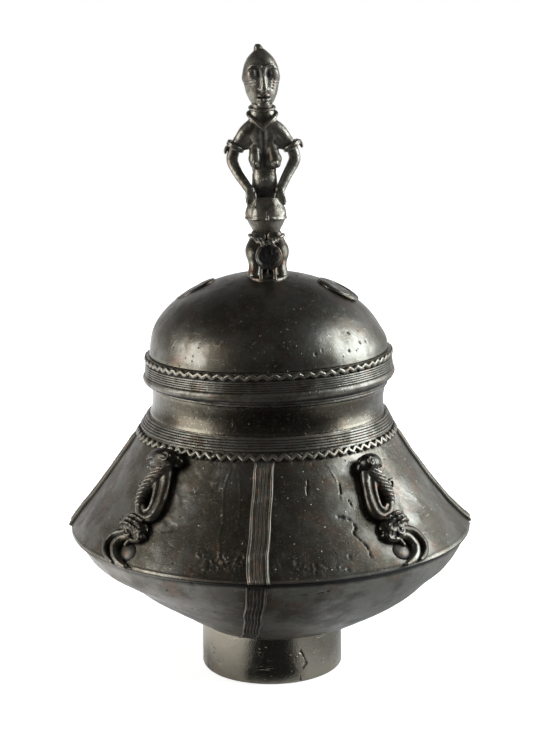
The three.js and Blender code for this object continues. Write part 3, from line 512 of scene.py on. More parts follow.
def hand_made(outline, seed, depth, cracks=(), lines=(), holes=(), rough=(), crack_depth=0.0, pit_depth=0.0,
              pits=0, flakes=0.0):
    """Relief of a hand-made wax wall: dents, flaked skin, cracks, scored lines, rough spots and pits."""
    rng = np.random.default_rng(seed)

    def relief(points, azimuth, shares):
        """Lift and grime at the points."""
        lift = depth * (0.7 * uneven(points, 26, seed) + 0.45 * uneven(points, 9, seed + 1, 2))
        flaked = uneven(points, 24, seed + 5, 4)
        lift -= flakes * (ease(0.1, 0.16, flaked) + ease(0.24, 0.3, flaked))
        grime = np.zeros(azimuth.shape)
        ragged = 0.4 * uneven(points, 1.4, seed + 2)
        broken = 0.6 * ease(0.05, 0.35, uneven(points, 2.6, seed + 6))
        for path in cracks:
            near = near_path(points, on_outline(outline, path)) + ragged + broken
            lift -= crack_depth * (1 - ease(0.1, 0.5, near))
            grime = np.maximum(grime, 1 - ease(0.1, 0.45, near))
        for path in lines:
            near = near_path(points, on_outline(outline, path)) + 1.1 * ragged
            lift += 0.12 * (1 - ease(0, 0.6, near))
        for degrees, height, size in rough:
            near = np.linalg.norm(points - on_outline(outline, [(degrees, height)])[0], axis=-1)
            near = near + 1.6 * uneven(points, 3, seed + 3)
            lumps = uneven(points * np.array([1.5, 1.5, 0.7]), 1.1, seed + 4, 2)
            lift += (1 - ease(0.6 * size, size, near)) * (0.55 * lumps + 0.1)
        spots = [(spot, 0.8) for spot in on_outline(outline, holes)] if holes else []
        low, high = points[..., 2].min(), points[..., 2].max()
        for _ in range(pits):
            place = on_outline(outline, [(rng.uniform(-180, 180), rng.uniform(low, high))])[0]
            spots.append((place, rng.uniform(0.2, 0.6)))
        for place, size in spots:
            near = np.linalg.norm(points - place, axis=-1) + 0.5 * size * ragged
            lift -= pit_depth * size * (1 - ease(0.2 * size, 1.4 * size, near))
            grime = np.maximum(grime, (1 - ease(0.4 * size, 1.1 * size, near)) * min(1, size + 0.3))
        return lift, grime * (shares > 0)

    return relief


# Facts about the walls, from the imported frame

FOOT_RADIUS = radius_of("foot_ring")
FOOT_TOP = top_of("foot_ring")
SHOULDER_RADIUS = radius_of("lower_bowl")
SHOULDER_LOW = top_of("lower_bowl")
SHOULDER_HIGH = bottom_of("upper_bowl")
FLOOR_BOTTOM = bottom_of("lower_bowl")
NECK_RADIUS = radius_of("neck")
NECK_FOOT = bottom_of("neck")
NECK_TOP = top_of("neck")
RIM_RADIUS = radius_of("neck_rim")
RIM_BOTTOM = bottom_of("neck_rim")
RIM_TOP = top_of("neck_rim")
WALL_TOP = top_of("upper_bowl")
BAND_RADIUS = radius_of("lid_band")
BAND_BOTTOM = bottom_of("lid_band")
BAND_TOP = top_of("lid_band")
DOME_RADIUS = radius_of("lid_dome")
DOME_BOTTOM = bottom_of("lid_dome")
LID_TOP = top_of("lid_dome")
FLANGE_RADIUS = radius_of("lid_flange")
SEAM = SHOULDER_HIGH - SHOULDER_LOW


def lower_wall(pot):
    """Outer outline of the wall below the shoulder, drawn upwards."""
    edge = pot["shoulder_round"]
    outline = Outline((FOOT_RADIUS, FOOT_TOP + SEAM))
    outline.to((SHOULDER_RADIUS - edge, SHOULDER_LOW - edge), swell=pot["bulge"], share=1,
               skew=pot["bulge_skew"])
    return outline.to((SHOULDER_RADIUS, SHOULDER_LOW), step=0.5, swell=0.35, share=1)


def upper_wall(pot):
    """Outer outline of the wall above the shoulder, drawn upwards."""
    edge = pot["shoulder_round"]
    outline = Outline((SHOULDER_RADIUS, SHOULDER_HIGH))
    outline.to((SHOULDER_RADIUS - 0.7 * edge, SHOULDER_HIGH + edge), step=0.5, swell=0.25, share=1)
    return outline.to((NECK_RADIUS, WALL_TOP), swell=-pot["hollow"], share=1)


# Slope of the joint between the foot and the bowl, from its outer edge down to its inner one
FOOT_LAP = 1.35
# Sags of the lower wall: height, reach up and down, and swelling all round, on the left and on the right
LOWER_SAGS = [(28, 5, 0.8, 0, 0), (62, 5, 0, 1.4, 0), (50, 5, 0, -1.6, 0), (41, 6, 0, -0.4, 0),
              (38, 12, 0, 0, 1.4), (26, 5, 0, 0, 0.8), (61, 7, 0, 0, 1.3)]
# How far the hand-built wall leans to the right at a height, in mm, as the photograph's outline shows
POT_SWAY = [(0, 0), (23.9, 0), (24.3, 0.8), (27, 2.3), (33, 3.4), (40, 3.2), (46, 2.7), (52, 1.9), (60, 1.2),
            (68, 0.5), (73.5, 0), (78, -1.1), (84, -1.9), (110, -1.9), (120, -1.5), (131, -1), (140, -0.4),
            (146, 0)]


def swayed(points):
    """Points of the pot, moved sideways with the lean of its wall."""
    heights, shifts = np.array(POT_SWAY).T
    points = points.copy()
    points[:, 0] += np.interp(points[:, 2], heights, shifts)
    return points


class WallSurface:
    """Places on an outer wall by the distance along its outline from the shoulder."""

    def __init__(self, outline):
        self.points = np.array(outline.points)
        self.normals = outline.normals(False)
        steps = np.linalg.norm(np.diff(self.points, axis=0), axis=1)
        self.distance = np.append(0, np.cumsum(steps))
        self.length = self.distance[-1]

    def place(self, distance, across, lift, azimuth):
        """Points at arc lengths across the wall from an azimuth, lifted off it."""
        beyond = distance - np.clip(distance, 0, self.length)
        radius = np.interp(distance, self.distance, self.points[:, 0])
        height = np.interp(distance, self.distance, self.points[:, 1])
        out_r = np.interp(distance, self.distance, self.normals[:, 0])
        out_z = np.interp(distance, self.distance, self.normals[:, 1])
        radius = radius - beyond * out_z
        height = height + beyond * out_r
        angle = azimuth + across / radius
        return round_the_pot(radius + lift * out_r, angle, height + lift * out_z)


# Pieces of the pot


def make_foot(pot, bronze):
    """The hollow ring foot, with casting flaws and a floor edge worn round."""
    inner = FOOT_RADIUS - pot["wall"]
    outline = Outline((inner, 0.9)).to((inner + 0.9, 0), step=0.5, swell=0.2)
    outline.to((FOOT_RADIUS - 1.4, 0), step=0.6)
    outline.to((FOOT_RADIUS, 1.6), step=0.35, swell=0.45, share=0.4)
    outline.to((FOOT_RADIUS, FOOT_TOP), share=1)
    outline.to((inner, FOOT_TOP - FOOT_LAP), step=1.5)
    outline.to((inner, 0.9), step=3)
    relief = hand_made(outline, 11, pot["unevenness"] * 0.8, cracks=FOOT_FLAWS, crack_depth=0.6,
                       pit_depth=pot["pit_depth"], pits=26)
    mesh, grime = turned("foot_ring", outline, relief=relief)
    points, _ = read_mesh(mesh)
    points[:, 2] = np.maximum(points[:, 2], 0)
    move_points(mesh, points)
    piece("foot_ring", mesh, "pot", bronze["foot"], grime)


def make_lower_bowl(pot, bronze):
    """The bowl below the shoulder, with the sags of its hand-built wall and painted shadow under its edge."""
    wall = pot["wall"]
    floor_radius = FOOT_RADIUS - wall
    foot_top = FOOT_TOP + SEAM
    rise = (foot_top - FLOOR_BOTTOM) * 0.2
    outline = Outline((0, FLOOR_BOTTOM)).to((floor_radius / 2, FLOOR_BOTTOM + rise), step=INSIDE_STEP)
    outline.to((floor_radius, foot_top - FOOT_LAP), step=INSIDE_STEP)
    outline.to((FOOT_RADIUS, foot_top), step=1)
    outer = lower_wall(pot)
    outline.points += outer.points
    outline.shares += [share * float(ease(0, 2, abs(p[1] - SHOULDER_LOW))) for p, share in
                       zip(outer.points, outer.shares)]
    outline.pen = (SHOULDER_RADIUS, SHOULDER_LOW)
    outline.to((SHOULDER_RADIUS - 1.5 * wall, SHOULDER_LOW), step=1.5)
    outline.to((FOOT_RADIUS + 1, foot_top + wall), step=INSIDE_STEP, swell=-pot["bulge"] * 0.9)
    outline.to((floor_radius / 2, FLOOR_BOTTOM + rise + wall), step=INSIDE_STEP)
    outline.to((0, FLOOR_BOTTOM + wall), step=INSIDE_STEP).through([(0, FLOOR_BOTTOM + wall)])
    cast = hand_made(outline, 23, pot["unevenness"], cracks=LOWER_CRACKS, pits=70, flakes=0.08,
                     crack_depth=pot["crack_depth"] * 0.6, pit_depth=pot["pit_depth"])

    def relief(points, azimuth, shares):
        """The cast surface, with a ragged groove under the shoulder, painted shadow along it, and sags as the
        outline shows.
        """
        lift, grime = cast(points, azimuth, shares)
        height, aside = points[..., 2], np.sin(azimuth)
        ragged = 0.8 * uneven(points, 5, 26, 2)
        under_edge = ease(SHOULDER_LOW - 3.8 + ragged, SHOULDER_LOW - 2, height)
        front = ease(-0.6, -0.2, aside) * (1 - ease(0.75, 0.95, aside))
        lift -= 0.8 * front * under_edge * (1 - ease(SHOULDER_LOW - 0.8, SHOULDER_LOW - 0.2, height))
        sags = 0
        for middle, reach, both, left, right in LOWER_SAGS:
            amount = both + left * np.maximum(0, -aside) + right * np.maximum(0, aside)
            sags = sags + amount * np.exp(-(((height - middle) / reach) ** 2))
        lift += sags * (shares > 0)
        # The darkening here is painted shadow under the shoulder's edge, darkest across the front
        return lift, np.maximum(grime, (0.4 + 0.6 * front) * under_edge)

    mesh, grime = turned("lower_bowl", outline, closed=False, relief=relief)
    piece("lower_bowl", mesh, "pot", bronze["under"], grime)


def make_upper_bowl(pot, bronze):
    """The wall above the shoulder, with notches pressed beside the zigzag and rough metal by the rib."""
    outer = upper_wall(pot)
    outline = Outline()
    outline.points += outer.points
    outline.shares += [float(ease(0, 2.5, p[1] - SHOULDER_HIGH)) * share + 0.02 for p, share in
                       zip(outer.points, outer.shares)]
    outline.pen = (NECK_RADIUS, WALL_TOP)
    mouth = NECK_RADIUS - pot["neck_waist"] - pot["wall"]
    outline.to((mouth, WALL_TOP), step=1.5)
    outline.to((mouth + 0.6, WALL_TOP - pot["wall"] * 1.2), step=2)
    outline.to((SHOULDER_RADIUS - 1.5 * pot["wall"], SHOULDER_HIGH), step=INSIDE_STEP, swell=pot["hollow"])
    outline.to((SHOULDER_RADIUS, SHOULDER_HIGH), step=1.5)
    cast = hand_made(outline, 37, pot["unevenness"], cracks=WALL_CRACKS, lines=WALL_LINES, holes=WALL_HOLES,
                     rough=WALL_ROUGH, crack_depth=pot["crack_depth"], pit_depth=pot["pit_depth"], pits=90,
                     flakes=0.14)
    high, low = zigzag_heights("collar_zigzag", pot)

    def relief(points, azimuth, shares):
        """The cast surface, with the notches and painted shade in them, and painted shadow along the
        shoulder's edge.
        """
        lift, grime = cast(points, azimuth, shares)
        height, aside = points[..., 2], np.sin(azimuth)
        middle = zigzag_middle(collar_teeth(pot), azimuth, high, low)
        below = ease(low - 0.9, low + 0.3, height) * ease(0.1, 0.9, middle - height)
        above = (1 - ease(high - 0.1, high + 0.7, height)) * ease(0.3, 0.9, height - middle)
        notch = np.maximum(below, 0.6 * above)
        ragged = 0.9 * uneven(points, 3, 41, 2)
        # Painted shadow along the shoulder's edge, on the front and right side
        edge = 1 - ease(SHOULDER_HIGH + 0.3, SHOULDER_HIGH + 1.8 + ragged, height)
        edge = 0.8 * edge * ease(-0.15, 0.05, aside) * (1 - ease(0.6, 0.8, aside)) * (shares > 0)
        return lift - 0.7 * notch, np.maximum(grime, np.maximum(0.85 * notch, edge))

    mesh, grime = turned("upper_bowl", outline, relief=relief)
    piece("upper_bowl", mesh, "pot", bronze["wall"], grime)


def make_neck(pot, bronze):
    """The neck, which draws in to a waist below its rim."""
    waist = NECK_RADIUS - pot["neck_waist"]
    mouth = waist - pot["wall"]
    outline = Outline().through(curve_through([
        (NECK_RADIUS, NECK_FOOT), (waist + 0.25, NECK_FOOT + 3.4), (waist, NECK_FOOT + 6.6),
        (waist + 0.2, NECK_FOOT + 9.8), (waist + 0.75, NECK_TOP),
    ], 5), share=0.8, then=(mouth + 2, NECK_TOP))
    outline.to((mouth, NECK_TOP), step=2)
    outline.to((mouth, NECK_FOOT), step=INSIDE_STEP)
    outline.to((NECK_RADIUS - 1, NECK_FOOT), step=1.5)
    relief = hand_made(outline, 41, pot["unevenness"] * 0.7, pit_depth=pot["pit_depth"], pits=22)
    mesh, grime = turned("neck", outline, relief=relief)
    piece("neck", mesh, "pot", bronze["smooth"], grime)


def thread_wobble(seed, depth):
    """Small differences in height and girth along laid threads."""
    def relief(points, azimuth, shares):
        return depth * (uneven(points, 7, seed) + 0.6 * uneven(points, 2.2, seed + 1)), 0 * azimuth
    return relief


def make_neck_rim(pot, bronze):
    """The ridged rim of the neck, on which the lid sits."""
    mouth = NECK_RADIUS - pot["neck_waist"] - pot["wall"]
    outline = Outline((mouth, RIM_BOTTOM)).to((RIM_RADIUS - 1, RIM_BOTTOM), step=2)
    ridges = threads((RIM_RADIUS - 0.5, RIM_BOTTOM), (RIM_RADIUS, RIM_TOP - 0.1), 3, 0.6)
    outline.through(ridges, share=0.5, then=(RIM_RADIUS - 1, RIM_TOP))
    outline.to((mouth, RIM_TOP), step=1.5)
    outline.to((mouth, RIM_BOTTOM), step=1.5)
    wobble = thread_wobble(51, 0.16)

    def relief(points, azimuth, shares):
        """Threads that wander, with painted shadow in the gap under the lid."""
        lift, grime = wobble(points, azimuth, shares)
        return lift, np.maximum(grime, 0.95 * ease(RIM_TOP - 2.2, RIM_TOP - 1, points[..., 2]))

    mesh, grime = turned("neck_rim", outline, relief=relief)
    piece("neck_rim", mesh, "pot", bronze["thread"], grime)


def make_collar_ridges(pot, bronze):
    """Five wax threads wound side by side round the foot of the neck."""
    surface = WallSurface(upper_wall(pot))
    low = np.interp(bottom_of("collar_ridges"), surface.points[:, 1], surface.distance)

    def lifted(distance, lift):
        """Outline point at a distance up the wall, lifted off it."""
        point = surface.place(np.array([distance]), 0, lift, np.array([0.0]))[0]
        return [-point[1], point[2]]

    crest = SEAM + 1.1
    bottom, top = lifted(low, crest), lifted(surface.length - 0.1, crest)
    outline = Outline(lifted(surface.length, 0.1)).to(lifted(low, 0.1), step=INSIDE_STEP)
    outline.through(threads(bottom, top, pot["collar_threads"], 0.6, samples=8), share=0.45)
    mesh, grime = turned("collar_ridges", outline, relief=thread_wobble(61, 0.2))
    piece("collar_ridges", mesh, "pot", bronze["thread"], grime)


# Zigzag threads


def zigzag_heights(node, pot):
    """Height of a packed zigzag's tips and of its roots."""
    low, high = box_mm(node)
    half = 0.45 * pot["thread_width"]
    return high[2] - half, low[2] + half


def zigzag_middle(teeth, azimuth, high, low):
    """Height of an even zigzag's line at an azimuth."""
    tooth = teeth * azimuth / (2 * math.pi)
    return low + (high - low) * np.abs(2 * (tooth - np.floor(tooth)) - 1)


def collar_teeth(pot):
    """Teeth in the whole round of the collar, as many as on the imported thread."""
    low, high = box_mm("collar_zigzag")
    middle = (high[2] + low[2]) / 2
    outer = np.array(upper_wall(pot).points)
    return round(2 * math.pi * np.interp(middle, outer[:, 1], outer[:, 0]) / pot["tooth_pitch"])


def lid_zigzag_radius(pot):
    """Radius of the field that the lid's zigzag lies on."""
    return box_mm("lid_zigzag")[1][0] - SEAM - pot["thread_relief"]


def lid_teeth(pot):
    """Teeth in the whole round of the lid."""
    return round(2 * math.pi * lid_zigzag_radius(pot) / pot["tooth_pitch"])


def squared(share):
    """A circle's share, pushed outwards so that the section gets a flatter top."""
    return math.copysign(abs(share) ** 0.7, share)


def laid_thread(name, centres, normals, half_width, relief, sides=10):
    """A thread with a flattened top laid in a ring on a surface, sunk a little into it."""
    run = np.roll(centres, -1, axis=0) - np.roll(centres, 1, axis=0)
    run /= np.linalg.norm(run, axis=1)[:, None]
    side = np.cross(run, normals)
    angle = np.linspace(-0.15 * math.pi, 1.15 * math.pi, sides)
    rings = np.stack([centres + half_width[:, None] * squared(math.cos(a)) * side
                      + relief[:, None] * squared(math.sin(a)) * normals for a in angle], axis=1)
    return mesh_from(name, rings.reshape(-1, 3), grid_faces(len(centres), sides, wrap_rows=True))


def zigzag_line(teeth, seed, samples=10):
    """Azimuths round the pot, and an uneven zigzag's place there, from -1 at a root to 1 at a tip."""
    rng = np.random.default_rng(seed)
    tip_height = rng.uniform(0.82, 1.0, 2 * teeth)
    tip_shift = rng.uniform(-0.09, 0.09, 2 * teeth) * math.pi / teeth
    corners = np.arange(2 * teeth) * math.pi / teeth
    heights = np.where(np.arange(2 * teeth) % 2, 1, -1) * tip_height
    wrapped = np.append(corners + tip_shift, 2 * math.pi + tip_shift[0])
    azimuth = around(2 * teeth * samples) + tip_shift[0]
    line = np.interp(azimuth, wrapped, np.append(heights, heights[0]))
    kernel = np.array([0.25, 0.5, 0.25])
    for _ in range(2):
        line = np.convolve(np.r_[line[-1], line, line[0]], kernel, "valid")
    return azimuth, line


def make_collar_zigzag(pot, bronze):
    """The zigzag thread that is laid on the wall below the collar."""
    surface = WallSurface(upper_wall(pot))
    high, low = zigzag_heights("collar_zigzag", pot)
    distances = np.interp([low, high], surface.points[:, 1], surface.distance)
    azimuth, line = zigzag_line(collar_teeth(pot), 71)
    distance = np.interp(line, [-1, 1], distances)
    centres = surface.place(distance, 0, 0.25, azimuth)
    normals = surface.place(distance, 0, 1.25, azimuth) - centres
    girth = 1 + 0.12 * uneven(centres, 3, 72)
    mesh = laid_thread("collar_zigzag", centres, normals, pot["thread_width"] / 2 * girth,
                       pot["thread_relief"] * girth)
    piece("collar_zigzag", mesh, "pot", bronze["thread"])


# Ribs


def rib_mesh(name, pot, surface, stations, azimuth, seed):
    """A rib of wires side by side between stations of [distance, width, sideways shift]."""
    rows = curve_through(stations, RIB_ROWS // (len(stations) - 1))
    wires = pot["rib_wires"]
    across = np.linspace(-0.5, 0.5, wires * 8 + 1)
    wire = np.sqrt(np.abs(np.sin(math.pi * wires * (across + 0.5))))
    edge = ease(0.5 - 1.15 / wires, 0.5 - 0.45 / wires, np.abs(across))
    profile = 0.55 + 0.3 * wire + 0.34 * edge * wire
    profile[[0, -1]] = 0
    distance, width, shift = (rows[:, k][:, None] for k in range(3))
    span = np.linspace(0, 1, len(rows))[:, None]
    ends = np.minimum(1, 0.6 + 0.4 * ease(0, 0.05, span)) * np.minimum(1, 0.6 + 0.4 * ease(0, 0.05, 1 - span))
    flat = np.stack([width * across, distance + 0 * across, 0 * distance * across], axis=-1)
    middle = np.stack([0 * distance[:, 0], distance[:, 0], 0 * distance[:, 0]], -1)
    shift = shift + 0.35 * uneven(middle, 11, seed)[:, None]
    drift = 0.22 * uneven(flat * np.array([1, 0.35, 1]), 2.4, seed + 1)
    lift = pot["rib_relief"] * profile[None, :] * ends + 0.14 * uneven(flat, 3, seed + 2) * profile[None, :]
    top = surface.place(distance + 0 * across, width * across + shift + drift * profile, lift + 0.12, azimuth)
    sunk = surface.place(np.repeat(distance, 2, 1), np.array([[0.5, -0.5]]) * width + shift, -0.5, azimuth)
    rings = np.concatenate([top, sunk], axis=1)
    count = rings.shape[1]
    last = (len(rows) - 1) * count
    faces = grid_faces(len(rows), count)
    faces += [list(range(count)), [last + k for k in reversed(range(count))]]
    # Painted shade in the grooves between the wires and on the rib's sunk sides
    groove = np.clip((1 - wire) * 1.2, 0, 1) ** 2 * 0.8
    grime = np.broadcast_to(np.append(groove, [1, 1]), rings.shape[:2])
    return mesh_from(name, rings.reshape(-1, 3), faces), grime.ravel()


# Sideways shift of the front rib and width of every rib at places down the wall, in mm
FRONT_RIB_SHIFTS = {"top": -0.8, "shoulder": -5.2, "under": -6.6, "middle": -12.6, "foot": -13.8}
RIB_WIDTHS = {"top": 9.4, "shoulder": 10.2, "under": 9.8, "middle": 9, "foot": 8.4}
RIB_AZIMUTHS = {"front": 0, "right": 90, "back": 180, "left": 270}
# Rows of points along a rib
RIB_ROWS = 42


def make_ribs(pot, bronze):
    """Four ribs of laid wires, each in one part above the shoulder and one below it."""
    upper, lower = WallSurface(upper_wall(pot)), WallSurface(lower_wall(pot))
    top = np.interp(zigzag_heights("collar_zigzag", pot)[1] - 0.4, upper.points[:, 1], upper.distance)
    # Distances along the wall, with the places whose mean width and shift a rib has there
    parts = {
        "upper": (upper, {0.3: ["shoulder"], 2.6: ["shoulder"], top / 2: ["shoulder", "top"], top: ["top"]}),
        "lower": (lower, {2.4: ["foot"], lower.length * 0.42: ["middle"], lower.length - 0.3: ["under"]}),
    }
    for index, (side, degrees) in enumerate(RIB_AZIMUTHS.items()):
        shifts = FRONT_RIB_SHIFTS if side == "front" else dict.fromkeys(FRONT_RIB_SHIFTS, 0)
        for part, (surface, stations) in parts.items():
            rows = [(distance, *(sum(row[p] for p in places) / len(places) for row in (RIB_WIDTHS, shifts)))
                    for distance, places in stations.items()]
            name = f"rib_{side}_{part}"
            mesh, grime = rib_mesh(name, pot, surface, rows, math.radians(degrees), 80 + 10 * index)
            piece(name, mesh, "pot", bronze["rib"], grime)


# Modelled wax: parts that are fused into one skin


def tube(stops, sides=16, per_span=5, closed=False, across=(1, 0, 0)):
    """A limb through stops of [x, y, z, radius] or [x, y, z, half width, half depth], with round ends."""
    stops = np.array(stops, float)
    if stops.shape[1] == 4:
        stops = np.hstack([stops, stops[:, 3:]])
    rows = curve_through(stops, per_span, closed)
    centre, girth = rows[:, :3], np.maximum(rows[:, 3:], 0.05)
    run = np.roll(centre, -1, axis=0) - np.roll(centre, 1, axis=0)
    if not closed:
        run[0], run[-1] = centre[1] - centre[0], centre[-1] - centre[-2]
    run /= np.linalg.norm(run, axis=1)[:, None]
    side = np.array(across, float) - (run @ np.array(across, float))[:, None] * run
    side /= np.maximum(np.linalg.norm(side, axis=1), 1e-6)[:, None]
    front = np.cross(run, side)
    if not closed:
        # Three rings round off each end
        turns = np.radians([25, 50, 72])[:, None]
        first = centre[0] - run[0] * girth[0, 1] * np.cos(turns)
        final = centre[-1] + run[-1] * girth[-1, 1] * np.cos(turns[::-1])
        centre = np.vstack([first, centre, final])
        girth = np.vstack([girth[0] * np.sin(turns), girth, girth[-1] * np.sin(turns[::-1])])
        side = np.vstack([[side[0]] * 3, side, [side[-1]] * 3])
        front = np.vstack([[front[0]] * 3, front, [front[-1]] * 3])
    angle = around(sides)
    rings = (centre[:, None] + girth[:, :1, None] * np.cos(angle)[None, :, None] * side[:, None]
             + girth[:, 1:, None] * np.sin(angle)[None, :, None] * front[:, None])
    faces = grid_faces(len(centre), sides, wrap_rows=closed)
    if not closed:
        last = (len(centre) - 1) * sides
        faces += [list(range(sides))[::-1], [last + k for k in range(sides)]]
    return rings.reshape(-1, 3), faces


def ball(centre, radii, sides=18):
    """An ellipsoid of wax."""
    low = np.array(centre, float) - [0, 0, radii[2] * 0.999]
    high = np.array(centre, float) + [0, 0, radii[2] * 0.999]
    angle = np.linspace(-0.5 * math.pi, 0.5 * math.pi, sides // 2 + 1)[1:-1]
    turn = around(sides)
    rings = np.stack([
        centre[0] + radii[0] * np.cos(angle)[:, None] * np.cos(turn),
        centre[1] + radii[1] * np.cos(angle)[:, None] * np.sin(turn),
        centre[2] + radii[2] * np.sin(angle)[:, None] + 0 * turn,
    ], axis=-1)
    rows = len(angle)
    faces = grid_faces(rows, sides)
    first, last = rows * sides, rows * sides + 1
    top = (rows - 1) * sides
    faces += [[first, (k + 1) % sides, k] for k in range(sides)]
    faces += [[last, top + k, top + (k + 1) % sides] for k in range(sides)]
    return np.vstack([rings.reshape(-1, 3), low, high]), faces


def stacked(rows, sides=28):
    """A body through level ovals of [height, centre x, centre y, half width, half depth]."""
    stops = [(x, y, z, wide, deep) for z, x, y, wide, deep in rows]
    fine = curve_through(stops, 4)
    angle = around(sides)
    wide, deep = np.maximum(fine[:, 3:4], 0.05), np.maximum(fine[:, 4:5], 0.05)
    rings = np.stack([fine[:, :1] + wide * np.sin(angle), fine[:, 1:2] - deep * np.cos(angle),
                      fine[:, 2:3] + 0 * angle], axis=-1)
    last = (len(fine) - 1) * sides
    faces = grid_faces(len(fine), sides)
    faces += [list(range(sides))[::-1], [last + k for k in range(sides)]]
    return rings.reshape(-1, 3), faces


def fused(name, parts, grain=WAX_GRAIN, softening=3):
    """Joins overlapping parts into one closed skin and softens it like modelled wax."""
    points, faces = [], []
    for part_points, part_faces in parts:
        base = sum(len(p) for p in points)
        points.append(part_points)
        faces += [[base + k for k in face] for face in part_faces]
    rough = bpy.data.meshes.new(f"{name}_parts")
    rough.from_pydata((np.vstack(points) * MM).tolist(), [], faces)
    body = bpy.data.objects.new(f"{name}_parts", rough)
    bpy.context.scene.collection.objects.link(body)
    skin = body.modifiers.new("skin", "REMESH")
    skin.mode = "VOXEL"
    skin.voxel_size = grain * MM
    soft = body.modifiers.new("soft", "SMOOTH")
    soft.iterations = softening
    soft.factor = 0.5
    graph = bpy.context.evaluated_depsgraph_get()
    mesh = bpy.data.meshes.new_from_object(body.evaluated_get(graph))
    bpy.data.objects.remove(body)
    bpy.data.meshes.remove(rough)
    mesh.name = name
    return mesh


def worked(mesh, relief):
    """Moves a skin's points along its normals by relief(points), and gives back the points before that."""
    points, normals = read_mesh(mesh)
    lift = relief(points)
    move_points(mesh, points + lift[:, None] * normals)
    return points


# Climbing animals, laid out flat: x away from the front, y up the wall from the middle, z off the wall


def flat_tube(stops, rise=0.0, **options):
    """A tube along the wall through stops of [x, y, height above rise, radius]."""
    return tube([(x, y, rise + above, radius) for x, y, above, radius in stops], across=(0, 0, 1), **options)


def ring_of(centre, radius, thickness):
    """A level ring of the given mean radius."""
    stops = [(centre[0] + radius * math.cos(a), centre[1] + radius * math.sin(a), centre[2], thickness)
             for a in around(14)]
    return flat_tube(stops, sides=10, per_span=3, closed=True)


def animal_head(rise):
    """A solid blunt head with a ringed eye, and a snout whose jaws part away from the front."""
    skull = [(-8.6, 24, 0, 2.8), (-5.6, 24.4, 1.2, 4.6), (-1.6, 24.6, 1.6, 5.2), (2.4, 24.2, 1.5, 4.8),
             (5.6, 23.2, 1.1, 3.7), (7.8, 22.4, 0.7, 2.6)]
    jaw = [(-5.2, 20.6, 0, 2.8), (-0.6, 19.6, 0.4, 2.6), (3.4, 19, 0.3, 2.1), (6.2, 19.2, 0.2, 1.5)]
    brow = [(-4.4, 28, 3.4, 0.9), (-0.4, 28.4, 4, 0.9), (3.2, 27, 3.6, 0.8)]
    parts = [flat_tube(line, rise) for line in (skull, jaw, brow)]
    parts.append(ring_of((-4.4, 24.6, rise + 5.9), 1.9, 0.75))
    parts.append(ball((-4.4, 24.6, rise + 5.7), (0.9, 0.9, 1.2), 12))
    parts.append(ball((8.8, 21.4, rise + 1.4), (1.4, 1.2, 1.6), 12))
    parts.append(ball((7.4, 18.8, rise + 0.4), (1.1, 1, 1.2), 12))
    for x, y in curve_through([(2.4, 28.4), (5.2, 26.8), (7.4, 25), (8.8, 23.4)], 2):
        parts.append(ball((x, y, rise + 0.8), (0.7, 0.7, 1.6), 8))
    return parts


def animal_body(rise, strand):
    """A neck that parts into a double strand round the front side and a thick spiny flank."""
    loop = [(-4.4, 19, 0.2, 3.2), (-6.8, 11.8, 0, strand), (-8.3, 4.6, 0, strand), (-8.4, -1.4, 0, strand),
            (-6.6, -5, 0, strand), (-3, -5.4, 0, strand), (0.6, -3.2, 0, strand), (2.8, 0.8, 0, strand)]
    inner = [(-2.6, 13.8, 1, 2), (-4, 9, 1.2, 1.5), (-5, 4, 1.2, 1.4), (-5, -0.6, 1, 1.3),
             (-3.2, -2.2, 1, 1.2), (-1, -0.6, 1, 1.1)]
    flank = [(-4, 22, 0.4, 4), (-2.6, 17.6, 0.8, 4), (0, 13, 0.8, 3.9), (2, 8.4, 0.6, 3.5), (3.2, 4, 0.2, 3),
             (2.8, 0.4, 0, 2.4)]
    spines = [(1.8, 17.6), (4.2, 12.6), (5.6, 7.6), (6.1, 3.2), (5, -0.4)]
    claw = [(4.2, 9.6, 1.4, 1.1), (6.6, 10.2, 2, 1), (8, 8.6, 2, 0.9), (7, 7, 1.8, 0.7)]
    parts = [flat_tube(line, rise, per_span=4) for line in (loop, inner, flank)]
    for x, y in curve_through(spines, 3):
        parts.append(ball((x, y, rise), (1.1, 0.6, 1.9), 8))
    parts.append(flat_tube(claw, rise, per_span=3))
    return parts


def animal_haunch(rise):
    """A knotted lump with coils across it, a scroll and a hooked claw."""
    low = rise * 0.7
    claw = [(-7.6, -14.8, low, 1.8), (-4.6, -17, low, 1.7), (-1, -17.6, low, 1.4),
            (0.6, -20.4, rise * 0.6, 1.1)]
    parts = [
        ball((1.6, -9.6, rise * 0.8), (7, 5.4, rise + 0.8)),
        ball((-4.2, -11.8, rise * 0.8), (5, 4.6, rise)),
        ball((5, -11.6, low), (3.6, 3.4, rise)),
        ring_of((0.8, -14.2, rise + 1.2), 2, 0.75),
        ball((0.8, -14.2, rise + 1), (1, 1, 1.4), 12),
        flat_tube(claw, per_span=4),
    ]
    for k in range(3):
        coil = [(-5 + 1.2 * k, -7.4 - 2.2 * k, 2, 0.9), (0.6 + k, -6.4 - 2.1 * k, 3.6, 0.95),
                (6 + 0.7 * k, -7.6 - 2 * k, 1.8, 0.9)]
        parts.append(flat_tube(coil, rise, per_span=4))
    for k in range(6):
        angle = math.radians(50 - 22 * k)
        knob = (2 + 7 * math.cos(angle), -9.8 + 5 * math.sin(angle), rise * 0.8)
        parts.append(ball(knob, (0.8, 0.8, 1.5), 8))
    return parts


TAIL_TAPER = [0.95, 1.08, 1.12, 1.05, 0.9, 0.62]
TAIL_LINES = {
    "tail_outer": [(4, -13.8), (9.8, -16.4), (12.2, -21.4), (11, -25.6), (7.8, -28.4), (4.6, -30)],
    "tail_inner": [(0.2, -15.8), (4.6, -17.8), (6.4, -21.8), (4.6, -26), (0.6, -29), (-4.2, -30.4)],
}


